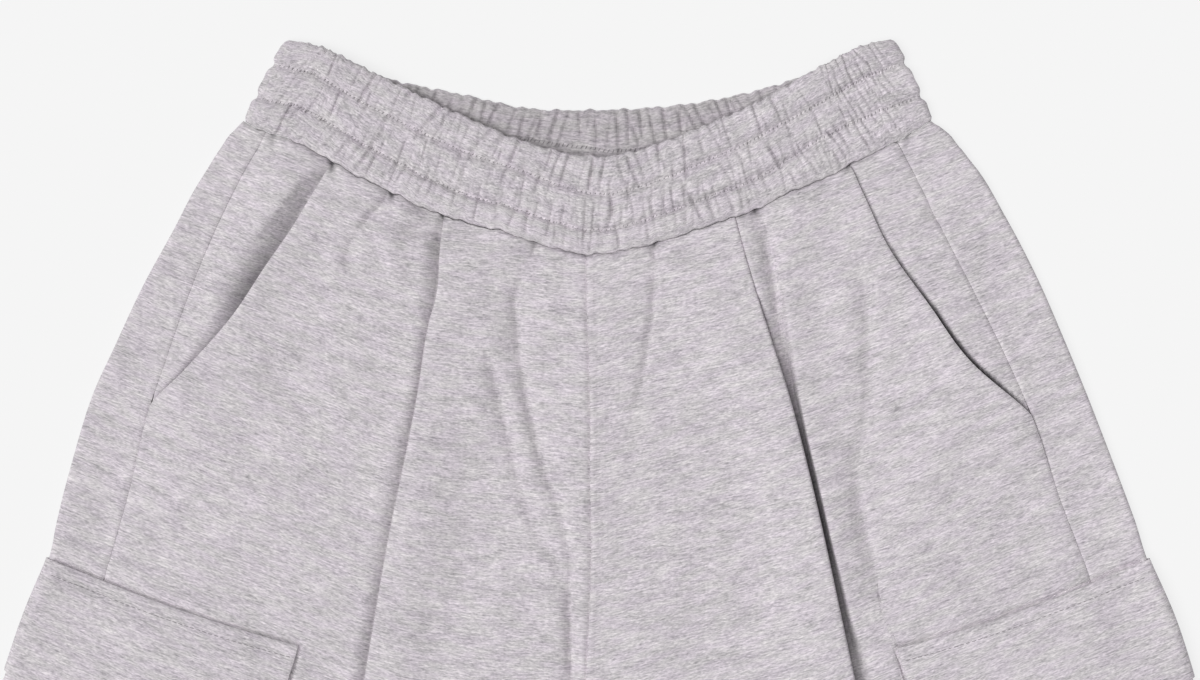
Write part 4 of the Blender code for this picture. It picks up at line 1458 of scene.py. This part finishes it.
@dataclass
class PocketFacing(ClothSheet):
    """Pocket facing, seen between the pocket opening and the side seam."""

    kind: ClassVar[str] = "pocket_facing"
    rests_on: ClassVar[tuple[str, ...]] = ("back_right", "back_left")

    def rows(self) -> Values:
        """Distances down the side seam of the facing's threads."""
        rows = leg_rows()
        return rows[rows <= FACING_END]

    def path(self, down: float) -> Path:
        """The facing's thread, from the side seam to its edge under the front.

        Args:
            down: Distance down the side seam.

        Returns:
            The thread.
        """
        side = self.leg.curve("side_out", down) - GAP / 2
        hidden = self.leg.opening_out(down) - FACING_OVERLAP
        outs = np.concatenate((side - EDGE_STEPS, np.linspace(side - 0.0034, hidden, 36)))
        roll = EDGE_ROLL * (1 - ease((side - outs) / EDGE_WIDTH))
        dip, width, slope, swell, bend = (
            shape_value(self.leg.openings, column, down) for column in Opening._fields[2:-1]
        )
        foot = self.leg.opening_out(down) + width
        climb = np.clip((outs - foot) / slope, 0.0, 1.0)
        low = dip * (1 - climb) ** bend
        swell = swell * ease((side - outs) / max(side - foot - slope, 0.004))
        level = (self.leg.top_level(outs, down) - roll + swell) * (1 - low) + PRESSED * low
        return Path(outs, level, np.ones(len(outs)), np.maximum(0.0, level - PRESSED))

    def shade(self, path: Path, down: float) -> Values:
        """The painted shade where the front's edge and the waist seam keep light off the facing.

        Args:
            path: The facing's thread.
            down: Distance down the side seam.

        Returns:
            The painted shade of each place, 0 to 1.
        """
        width, slope, strength = (
            shape_value(self.leg.openings, column, down) for column in ("width", "slope", "shade")
        )
        place = (path.out - self.leg.opening_out(down) - width) / slope
        return np.maximum(strength * (1 - ease(place)), self.seam_shade(path.out, down))


def patch_rows(start: float, end: float) -> Values:
    """Distances down the side seam of a patch's threads, closer at its top and bottom edges.

    Args:
        start: The patch's top edge, down the side seam.
        end: Its lower edge.

    Returns:
        The distances.
    """
    steps = (0.0, 0.0004, 0.0009, 0.0016, 0.0026)
    middle = np.linspace(start + 0.0040, end - 0.0040, max(8, round((end - start) / 0.0026)))
    return np.concatenate((start + np.array(steps), middle, end - np.array(steps[::-1])))


@dataclass
class CargoPocket(ClothSheet):
    """Cargo pocket: a patch on the side of the leg, under its flap."""

    kind: ClassVar[str] = "cargo_pocket"
    rests_on: ClassVar[tuple[str, ...]] = ("front_right", "back_right", "front_left", "back_left")

    def rows(self) -> Values:
        """Distances down the side seam of the pocket's threads."""
        return patch_rows(POCKET_TOP, POCKET_END)

    def path(self, down: float) -> Path:
        """The pocket's thread, with its lower edge rolled down.

        Args:
            down: Distance down the side seam.

        Returns:
            The thread.
        """
        path = self.leg.patch_path(down, POCKET_REACH, 1.0)
        roll = EDGE_ROLL * (1 - ease((POCKET_END - down) / EDGE_WIDTH))
        return Path(path.out, path.level - roll * path.share, path.share, path.room)


@dataclass
class CargoFlap(ClothSheet):
    """Flap, sewn to the leg along its top edge and lying over the pocket."""

    kind: ClassVar[str] = "cargo_flap"
    rests_on: ClassVar[tuple[str, ...]] = ("cargo_pocket_right", "cargo_pocket_left")

    def rows(self) -> Values:
        """Distances down the side seam of the flap's threads."""
        return patch_rows(FLAP_TOP, FLAP_END)

    def path(self, down: float) -> Path:
        """The flap's thread, with its top and lower edges rolled down.

        Args:
            down: Distance down the side seam.

        Returns:
            The thread.
        """
        lift = stack(down)
        path = self.leg.patch_path(down, FLAP_REACH, lift)
        rim = min(down - FLAP_TOP, FLAP_END - down)
        roll = EDGE_ROLL * (1 - ease(rim / EDGE_WIDTH))
        return Path(path.out, path.level - roll * path.share, path.share, path.room)


def gore_value(column: str, along: Values) -> Values:
    """A smooth value of the waistband's table."""
    return smooth([gore.along for gore in BAND_GORES], [getattr(gore, column) for gore in BAND_GORES], along)


@dataclass
class Waistband:
    """Waistband: one gathered elastic tube, pressed flat, with three puffed channels."""

    finish: bpy.types.Material
    # Finish of the band's inner faces: a darker copy of the cloth, painted shade.
    painted_shade_lining: bpy.types.Material
    flat: Point = (0.980, 0.062)
    area: float = 0.0600
    front_columns: int = 640
    back_columns: int = 400
    turn_steps: int = 10
    crease_width: float = 0.00070
    crease_depth: float = 0.000056
    stand: float = 0.0036
    seed: int = 23
    wave_start: float = 1.7
    name: ClassVar[str] = "waistband"
    half_width: ClassVar[float] = 0.190
    height: ClassVar[float] = 0.060
    top_waves: ClassVar[tuple[Point, ...]] = ((0.0310, 0.00026), (0.0470, 0.00030), (0.0830, 0.00034))
    outer_knots: ClassVar[tuple[Point, ...]] = (
        (0.0, 0.0003), (0.012, 0.0010), (0.04, 0.0017), (0.165, 0.0028), (0.295, 0.0023), (0.335, 0.0002),
        (0.375, 0.0024), (0.5, 0.0031), (0.625, 0.0024), (0.665, 0.0002), (0.705, 0.0023), (0.84, 0.0030),
        (0.95, 0.0022), (0.985, 0.0013), (1.0, 0.0001),
    )
    inner_knots: ClassVar[tuple[Point, ...]] = (
        (0.0, -0.0004), (0.02, -0.0011), (0.165, -0.0014), (0.335, -0.0012), (0.5, -0.0014),
        (0.665, -0.0012), (0.84, -0.0014), (0.95, -0.0012), (0.985, -0.0008), (1.0, -0.0002),
    )

    def wall(self, section: Values, inside: bool) -> Values:
        """How far a face stands off the middle of its half of the tube, at shares of the section."""
        knots = self.inner_knots if inside else self.outer_knots
        shares, offsets = zip(*knots)
        return np.maximum(INNER_WALL, smooth(shares, offsets, section))

    def row_share(self, along: Values, up: Values) -> Values:
        """Places up the band's section that keep its sewn rows at a third and two thirds.

        Args:
            along: Places along the band, one for each column.
            up: Shares of the section, one for each row.

        Returns:
            Rows by columns of shares of the band's height.
        """
        low = np.interp(along, [row[0] for row in BAND_ROWS], [row[1] for row in BAND_ROWS])
        high = np.interp(along, [row[0] for row in BAND_ROWS], [row[2] for row in BAND_ROWS])
        lower, upper = SEWN_ROWS
        up = up[:, None]
        first = up / lower * low
        second = low + (up - lower) / ROW_SPAN * (high - low)
        third = high + (up - upper) / lower * (1 - high)
        return np.where(up <= lower, first, np.where(up <= upper, second, third))

    def plane(self, along: Values, share: Values, front: bool) -> tuple[Values, Values]:
        """Where places on the band's front or back half are.

        Args:
            along: Places along the band, one for each column.
            share: Rows by columns of shares of the band's height.
            front: Whether they are on the front half.

        Returns:
            Rows by columns of distances across and up.
        """
        across = gore_value("seam_across", along)
        sides = []
        for leg in LEGS:
            seam = leg.row_up if front else leg.back_up
            sides.append(seam(leg.side.value * across, 0.0))
        seam_up = np.where(across < STATIONS[0].centre_across, *sides)
        label = "front" if front else "back"
        top_across, top_up = gore_value(label + "_across", along), gore_value(label + "_up", along)
        return across + (top_across - across) * share, seam_up + GAP + (top_up - seam_up - GAP) * share

    def gathers(self, along: Values, share: Values, creases: Sequence[Gather]) -> Values:
        """How deep the creases and how high the puffs beside them are.

        Args:
            along: Places along the band, one for each column.
            share: Rows by columns of shares of the band's height.
            creases: The gathers.

        Returns:
            Rows by columns of heights, below 0 in a crease.
        """
        height = np.zeros(share.shape)
        for crease in creases:
            near = np.abs(along - crease.along - crease.lean / 2) < abs(crease.lean) / 2 + 0.03
            place = (share[:, near] - crease.low) / (crease.high - crease.low)
            gap = np.abs(along[near] - crease.along - crease.lean * place) * self.half_width
            fade = ease((place + 0.10) / 0.25)
            fade = fade * (1.0 if crease.high > 0.965 else ease((1.10 - place) / 0.25))
            depth = self.crease_depth * crease.sharp
            groove = np.exp(-((gap / self.crease_width) ** 2))
            puff = 0.30 * np.exp(-(((gap - 0.0026) / 0.0016) ** 2))
            height[:, near] += depth * fade * (puff - groove)
        return height

    def puckers(self, along: Values, section: Values) -> Values:
        """Small dimples that the stitches pull along the two sewn rows.

        Args:
            along: Places along the band, one for each column.
            section: Shares of the section, one for each row.

        Returns:
            Rows by columns of heights, below 0 in a dimple.
        """
        pitch = Stitch.ELASTIC.value[2] / self.half_width
        wave = 0.5 + 0.5 * np.cos(2 * math.pi * along / pitch)
        depth = np.zeros((len(section), len(along)))
        for row in SEWN_ROWS:
            depth += np.exp(-(((section[:, None] - row) / 0.022) ** 2)) * wave * -0.00060
        return depth

    def top_wave(self, along: Values) -> Values:
        """How far the elastic gathers pull the band's top edge up and down.

        Args:
            along: Places along the band.

        Returns:
            The pull at each.
        """
        wave = np.zeros(len(along))
        for pitch, height in self.top_waves:
            wave += height * np.sin(2 * math.pi * along / pitch + self.wave_start)
        return wave * ease((1 - np.abs(along)) / 0.15)

    def seeded_gathers(
        self,
        count: int,
        sharp: Point,
        seed: int,
        lows: Sequence[float] = (0.02, 0.04, 0.10, 0.30, 0.36, 0.66, 0.70),
        lean: float = 0.05,
        reach: float = 0.96,
    ) -> list[Gather]:
        """Gathers placed with seeded chance.

        Args:
            count: How many there are.
            sharp: The least and most sharp.
            seed: The chance's seed.
            lows: Shares of the band's height where they may start.
            lean: How far those at the band's sides lean towards its middle.
            reach: How far along the band they go, either way.

        Returns:
            The gathers.
        """
        chance = random.Random(seed)
        creases = []
        for index in range(count):
            along = reach * (2 * (index + chance.uniform(0.1, 0.9)) / count - 1)
            low = chance.choice(lows)
            turn = -lean * along + chance.uniform(-0.02, 0.02)
            high = min(1.0, low + chance.uniform(0.22, 0.5))
            creases.append(Gather(along, low, turn, high, chance.uniform(*sharp)))
        return creases

    def surface(self, along: Values, section: Values, front: bool, inside: bool = False) -> Values:
        """Points of the band's face.

        Args:
            along: Places along the band, one for each column.
            section: Shares of the section, one for each row.
            front: Whether they are on the front half.
            inside: Whether they are on the face that looks into the shorts.

        Returns:
            Rows by columns of points.
        """
        share = self.row_share(along, section)
        across, up = self.plane(along, share, front)
        up = up + self.top_wave(along)[None, :] * ease((section - 0.86) / 0.12)[:, None]
        wall = np.repeat(self.wall(section, inside)[:, None], len(along), axis=1)
        edge = ease(section / 0.03)[:, None] * ease((1.0 - section) / 0.02)[:, None]
        rows = sum(np.exp(-(((section - row) / 0.030) ** 2)) for row in SEWN_ROWS)[:, None]
        sides = ease((1 - np.abs(along)) / 0.35)[None, :]
        if front and not inside:
            creases = [*FRONT_GATHERS, *self.seeded_gathers(150, (9.0, 16.0), self.seed)]
            creases += self.seeded_gathers(118, (16.0, 26.0), self.seed + 3, lean=0.09)
            relief = self.gathers(along, share, creases) + self.puckers(along, section)
            wall = wall + relief * (0.45 + 0.55 * edge) + 0.0013 * rows * (np.abs(along) ** 1.5)[None, :]
            wall = np.maximum(wall, self.wall(section, True)[:, None] + BAND_THIN)
            up = up + np.minimum(relief, 0.0) * 0.5 * ease((section - 0.93) / 0.05)[:, None]
        elif not front and inside:
            creases = self.seeded_gathers(26, (12.0, 24.0), self.seed + 4, (0.62, 0.68, 0.74), 0.04, 0.55)
            deep = self.gathers(along, share, [*BACK_GATHERS, *creases])
            relief = 1.9 * deep + self.puckers(along, section)
            relief = relief + self.gathers(along, share, self.seeded_gathers(90, (9.0, 16.0), self.seed + 1))
            relief = relief * ease((share - 0.2) / 0.25)
            highest = -0.0016 - 0.0012 * ease(share - 0.2) * sides
            wall = np.clip(wall - relief * edge, highest, BAND_THIN - ROW_GROOVE * rows)
        elif not front:
            relief = self.gathers(along, share, self.seeded_gathers(110, (14.0, 26.0), self.seed + 2))
            wall = np.minimum(0.0015, wall + 0.0030 * edge) + np.clip(relief, -0.0004, 0.0) * edge
            wall = wall - ROW_GROOVE * rows
        level = BAND_FRONT_LEVEL + wall if front else BAND_BACK_LEVEL - wall
        if front:
            level = level + self.stand * ease(share) * sides
        return np.stack((across, up, level), axis=2)

    def sections(self) -> tuple[Values, Values]:
        """Shares up the band's outer and inner faces, closer at the sewn rows and edges.

        Returns:
            The outer face's shares and the inner face's.
        """
        outer = np.concatenate((
            (0.0, 0.010, 0.028), np.linspace(0.055, 0.285, 8), (0.305, 0.322, 0.335, 0.348, 0.365),
            np.linspace(0.390, 0.610, 8), (0.635, 0.652, 0.665, 0.678, 0.695), np.linspace(0.720, 0.940, 8),
            (0.960, 0.975, 0.988, 1.0),
        ))
        inner = np.concatenate((
            (0.990, 0.975, 0.955), np.linspace(0.925, 0.715, 8), (0.695, 0.678, 0.665, 0.652, 0.635),
            np.linspace(0.600, 0.030, 10), (0.0,),
        ))
        return outer, inner

    def fold(self, along: float, outer: Values, inner: Values) -> Values:
        """The columns that turn round one side of the tube.

        Args:
            along: -1 or 1, the side.
            outer: Shares up the outer face.
            inner: Shares up the inner face.

        Returns:
            Rows by columns of points, from the front half to the back half.
        """
        end = np.array([along * BELT_REACH])
        columns = []
        for inside, section in ((False, outer), (True, inner)):
            front = self.surface(end, section, True, inside)[:, 0]
            back = self.surface(end, section, False, inside)[:, 0]
            share = self.row_share(np.array([float(along)]), section)
            far = np.stack([part[:, 0] for part in self.plane(np.array([float(along)]), share, True)], axis=1)
            middle = (front[:, 2] + back[:, 2]) / 2
            half = (front[:, 2] - back[:, 2]) / 2
            away = far - front[:, :2]
            away /= np.linalg.norm(away, axis=1)[:, None]
            wall = self.wall(section, inside)
            if not inside:
                round_end = 0.0024 * ease((section + 0.03) / 0.09)
                upper_end = 0.0014 * ease((1 - section) / 0.05)
                wall = np.maximum(wall, np.where(section < 0.165, round_end, upper_end))
            bulge = (BAND_FRONT_LEVEL - BAND_BACK_LEVEL) / 2 + 0.9 * wall
            part = []
            for step in range(1, self.turn_steps):
                angle = math.pi * (0.5 - step / self.turn_steps)
                place = front[:, :2] + (back[:, :2] - front[:, :2]) * (1 - math.sin(angle)) / 2
                place = place + away * (bulge * math.cos(angle))[:, None]
                part.append(np.column_stack((place, middle + half * math.sin(angle))))
            columns.append(np.stack(part, axis=1))
        return np.concatenate(columns, axis=0)

    def build(self) -> bpy.types.Object:
        """Makes the tube: once round the shorts, and once round its wall.

        Returns:
            The piece.
        """
        outer, inner = self.sections()
        front_along = np.linspace(-BELT_REACH, BELT_REACH, self.front_columns)
        back_along = np.linspace(BELT_REACH, -BELT_REACH, self.back_columns)
        halves = []
        for along, front in ((front_along, True), (back_along, False)):
            faces = (self.surface(along, outer, front), self.surface(along, inner, front, inside=True))
            halves.append(np.concatenate(faces, axis=0))
        left, right = self.fold(1.0, outer, inner), self.fold(-1.0, outer, inner)[:, ::-1]
        places = np.concatenate((halves[0], left, halves[1], right), axis=1)
        places = np.concatenate((places, places[:, :1]), axis=1)
        places = np.concatenate((places, places[:1]), axis=0)
        middle = len(outer) // 2
        run = distances(places[middle, :, :2])
        height = np.concatenate((outer, inner, (0.0,))) * self.height
        cloth = np.stack(np.meshgrid(run, height), axis=2)
        mesh = grid_mesh("waistband_tube", places, cloth)
        tube = bmesh.new()
        tube.from_mesh(mesh)
        rows = len(outer) + len(inner)
        # The inner faces take the darker copy of the cloth: painted shade.
        lining_rows = range(len(outer), rows)
        for face in tube.faces:
            row = min(vertex.index // places.shape[1] for vertex in face.verts)
            face.material_index = int(row in lining_rows)
        bmesh.ops.remove_doubles(tube, verts=tube.verts, dist=1e-7)
        bmesh.ops.recalc_face_normals(tube, faces=tube.faces)
        tube.to_mesh(mesh)
        tube.free()
        mesh.shade_smooth()
        piece = add_piece("waistband_tube", mesh, [self.finish, self.painted_shade_lining])
        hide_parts(self.name)
        log.info("%s: %d x %d", piece.name, *places.shape[:2])
        return piece

    def declare(self, piece: bpy.types.Object, sewing: Sequence[bpy.types.Object]) -> None:
        """Does nothing."""


class Stitch(Enum):
    """How a row of stitches lies: (length, width, pitch, degrees from the row)."""

    TOPSTITCH = (0.0029, 0.00044, 0.0036, 0.0)
    ELASTIC = (0.0026, 0.00062, 0.0029, 62.0)


@dataclass
class StitchRows:
    """Rows of sewing on one piece of cloth, joined in one mesh.

    Attributes:
        name: The piece's name.
        finish: The thread's material.
        slot: The record's material slot; not used.
    """

    name: str
    finish: bpy.types.Material
    slot: str = "heather_jersey"
    mesh: bmesh.types.BMesh = field(default_factory=bmesh.new)

    def add(self, line: Values, kind: Stitch, facing: float = 1.0) -> None:
        """Sews one row along a line on the cloth.

        Args:
            line: Points on the cloth's face, close together.
            kind: How the stitches lie.
            facing: 1 where the face looks up, and -1 where it looks down.
        """
        length, width, pitch, lean = kind.value
        run = distances(line)
        count = int(run[-1] / pitch)
        batch = bmesh.new()
        for index in range(count):
            ends = [(index + 0.5) * pitch - length / 2, (index + 0.5) * pitch + length / 2]
            if lean:
                ends = [(index + 0.5) * pitch - 0.0005, (index + 0.5) * pitch + 0.0005]
            start, end = (
                Vector([float(np.interp(at, run, line[:, axis])) for axis in range(3)]) for at in ends
            )
            forward = (end - start).normalized()
            upward = Vector((0.0, 0.0, facing))
            aside = upward.cross(forward).normalized()
            upward = forward.cross(aside)
            turned = Matrix.Rotation(math.radians(lean), 3, upward) @ forward
            aside = upward.cross(turned)
            place = Matrix((aside * width, upward * width * 0.8, turned * length)).transposed().to_4x4()
            place.translation = (start + end) / 2 + upward * width * 0.15
            bmesh.ops.create_uvsphere(batch, u_segments=6, v_segments=4, radius=0.5, matrix=place)
            if index % 20 == 19 or index == count - 1:
                part = bpy.data.meshes.new("stitches")
                batch.to_mesh(part)
                batch.clear()
                self.mesh.from_mesh(part)
                bpy.data.meshes.remove(part)
        batch.free()

    def build(self) -> bpy.types.Object:
        """Makes the rows one piece.

        Returns:
            The piece.
        """
        bmesh.ops.recalc_face_normals(self.mesh, faces=self.mesh.faces)
        mesh = bpy.data.meshes.new(self.name)
        self.mesh.to_mesh(mesh)
        self.mesh.free()
        mesh.shade_smooth()
        piece = add_piece(self.name, mesh, [self.finish])
        log.info("%s: %d faces", piece.name, len(mesh.polygons))
        return piece


@dataclass
class Sewing:
    """All the sewing that shows."""

    thread: bpy.types.Material
    points: int = 900
    inside_points: int = 500
    inside_reach: float = 0.6

    def band(self, band: Waistband) -> bpy.types.Object:
        """The waistband's two rows, front, back and inside the back.

        Args:
            band: The waistband.

        Returns:
            The piece.
        """
        rows = StitchRows("waistband_sewing", self.thread, "waistband_jersey")
        along = np.linspace(-BELT_REACH, BELT_REACH, self.points)
        for section in SEWN_ROWS:
            rows.add(band.surface(along, np.array([section]), True)[0], Stitch.ELASTIC)
            rows.add(band.surface(along[::3], np.array([section]), False)[0], Stitch.ELASTIC, -1.0)
        inside = np.linspace(-self.inside_reach, self.inside_reach, self.inside_points)
        rows.add(band.surface(inside, np.array([SEWN_ROWS[1]]), False, True)[0], Stitch.ELASTIC)
        return rows.build()

    def line_on(self, sheet: ClothSheet, down: float, start: float, end: float) -> Values:
        """A line on a sheet's face along one of its threads.

        Args:
            sheet: The cloth.
            down: Distance down the side seam.
            start: Distance out where it starts.
            end: Distance out where it ends.

        Returns:
            Points on the face.
        """
        path = sheet.path(down)
        rising = np.concatenate(((True,), np.diff(path.out) > 0)) & (path.share > 0.5)
        last = int(np.argmin(rising)) if not rising.all() else len(rising)
        out = np.linspace(start, end, 120)
        level = np.interp(out, path.out[:last], path.level[:last])
        share = np.interp(out, path.out[:last], path.share[:last])
        up = sheet.leg.row_up(out, down)
        across = sheet.leg.side.value * out
        return np.column_stack((across, up, level + RELIEF.lift(across, up) * share + CLOTH / 2))

    def patch(self, sheet: ClothSheet, down: float, reach: float, inset: float) -> bpy.types.Object:
        """A row across a flap or a cargo pocket.

        Args:
            sheet: The flap or pocket.
            down: Distance down the side seam.
            reach: Distance from the side seam to the sheet's front edge.
            inset: Distance from that edge to the row's start.

        Returns:
            The piece.
        """
        rows = StitchRows(f"{sheet.name}_sewing", self.thread)
        start = sheet.leg.curve("side_out", down) - reach + inset
        rows.add(self.line_on(sheet, down, start, sheet.leg.fold_out(down)), Stitch.TOPSTITCH)
        return rows.build()

    def flap(self, sheet: CargoFlap) -> bpy.types.Object:
        """A flap's row under its top edge."""
        return self.patch(sheet, FLAP_TOP + FLAP_ROW, FLAP_REACH, FLAP_ROW_START)

    def pocket(self, sheet: CargoPocket) -> bpy.types.Object:
        """A cargo pocket's row above its lower edge."""
        return self.patch(sheet, POCKET_END - POCKET_ROW, POCKET_REACH, POCKET_ROW_START)


@dataclass
class Studio:
    """Pale floor, soft light from above and a camera that looks straight down.

    Attributes:
        target: Place across and up that the camera looks at.
        camera_height: The camera's height over the floor.
        lens: The camera's focal length, in millimetres.
        floor_grey: The floor's own colour.
        floor_glow: How strongly the floor glows.
        sky: Strength of the light from all round.
        key: Strength of the key light.
        key_spread: The key light's width in the sky, in degrees.
        key_turn: How far the key light is turned about X and Y, in degrees.
    """

    target: Point = (0.00116, 0.1409)
    camera_height: float = 1.605
    lens: float = 82.8
    floor_grey: float = 0.16
    floor_glow: float = 0.755
    sky: float = 0.32
    key: float = 2.32
    key_spread: float = 52.0
    key_turn: Point = (6.0, -24.0)

    def floor(self) -> None:
        """A wide pale floor that glows a little, so that shadows on it stay faint."""
        sheet = bmesh.new()
        bmesh.ops.create_grid(sheet, x_segments=1, y_segments=1, size=6.0)
        bmesh.ops.translate(sheet, verts=sheet.verts, vec=(0.0, 0.0, -0.0003))
        mesh = bpy.data.meshes.new("floor")
        sheet.to_mesh(mesh)
        sheet.free()
        material = bpy.data.materials.new("pale_floor")
        material.use_nodes = True
        shader = material.node_tree.nodes["Principled BSDF"]
        shader.inputs["Base Color"].default_value = (self.floor_grey, self.floor_grey, self.floor_grey, 1.0)
        shader.inputs["Roughness"].default_value = 1.0
        shader.inputs["Specular IOR Level"].default_value = 0.0
        shader.inputs["Emission Color"].default_value = (1.0, 1.0, 1.0, 1.0)
        shader.inputs["Emission Strength"].default_value = self.floor_glow
        mesh.materials.append(material)
        piece = bpy.data.objects.new("floor", mesh)
        bpy.context.scene.collection.objects.link(piece)

    def light(self) -> None:
        """Even light from all round and a soft key from the upper left."""
        world = bpy.data.worlds.new("studio")
        bpy.context.scene.world = world
        world.use_nodes = True
        background = world.node_tree.nodes["Background"]
        background.inputs["Color"].default_value = (1.0, 1.0, 1.0, 1.0)
        background.inputs["Strength"].default_value = self.sky
        key = bpy.data.lights.new("key", "SUN")
        key.energy = self.key
        key.angle = math.radians(self.key_spread)
        lamp = bpy.data.objects.new("key", key)
        lamp.rotation_euler = (math.radians(self.key_turn[0]), math.radians(self.key_turn[1]), 0.0)
        bpy.context.scene.collection.objects.link(lamp)

    def camera(self) -> None:
        """The camera, straight above the shorts."""
        camera = bpy.data.cameras.new("camera")
        camera.lens = self.lens
        camera.sensor_width = 36.0
        camera.clip_start = 0.05
        eye = bpy.data.objects.new("camera", camera)
        eye.location = (*self.target, self.camera_height)
        bpy.context.scene.collection.objects.link(eye)
        bpy.context.scene.camera = eye

    def build(self) -> None:
        """Sets up the studio."""
        self.floor()
        self.light()
        self.camera()
        view = bpy.context.scene.view_settings
        view.view_transform = "Standard"
        view.look = "None"


def main() -> None:
    """Dresses the shorts piece by piece."""
    logging.basicConfig(level=logging.INFO, format="%(message)s")
    panel = Heather(
        "heather_cloth",
        dark=(0.322, 0.303, 0.324),
        middle=(0.597, 0.558, 0.591),
        pale=(0.868, 0.812, 0.847),
    ).material()
    # Painted shade: a darker copy of the cloth for the waistband's inner faces, which lie in shade inside the
    # shorts.
    shaded = Heather(
        "heather_painted_shade",
        dark=(0.240, 0.226, 0.238),
        middle=(0.465, 0.435, 0.456),
        pale=(0.680, 0.637, 0.660),
    ).material()
    belt = Heather(
        "heather_waistband",
        dark=(0.305, 0.287, 0.307),
        middle=(0.575, 0.538, 0.569),
        pale=(0.842, 0.789, 0.823),
        streak=(0.0050, 0.00105),
    ).material()
    thread = Thread().material()
    sewing = Sewing(thread)
    for leg in LEGS:
        back = BackPanel(leg, panel, (0.375, 0.600), 0.197)
        facing = PocketFacing(leg, panel, (0.075, 0.190), 0.0088)
        front = FrontPanel(leg, panel, (0.360, 0.560), 0.165)
        pocket = CargoPocket(leg, panel, (0.215, 0.189), 0.0400)
        flap = CargoFlap(leg, panel, (0.216, 0.067), 0.0142)
        for sheet in (back, facing, front):
            sheet.declare(sheet.build(), [])
        pocket.declare(pocket.build(), [sewing.pocket(pocket)])
        flap.declare(flap.build(), [sewing.flap(flap)])
    band = Waistband(belt, shaded)
    band.declare(band.build(), [sewing.band(band)])
    Studio().build()


if __name__ == "__main__":
    main()
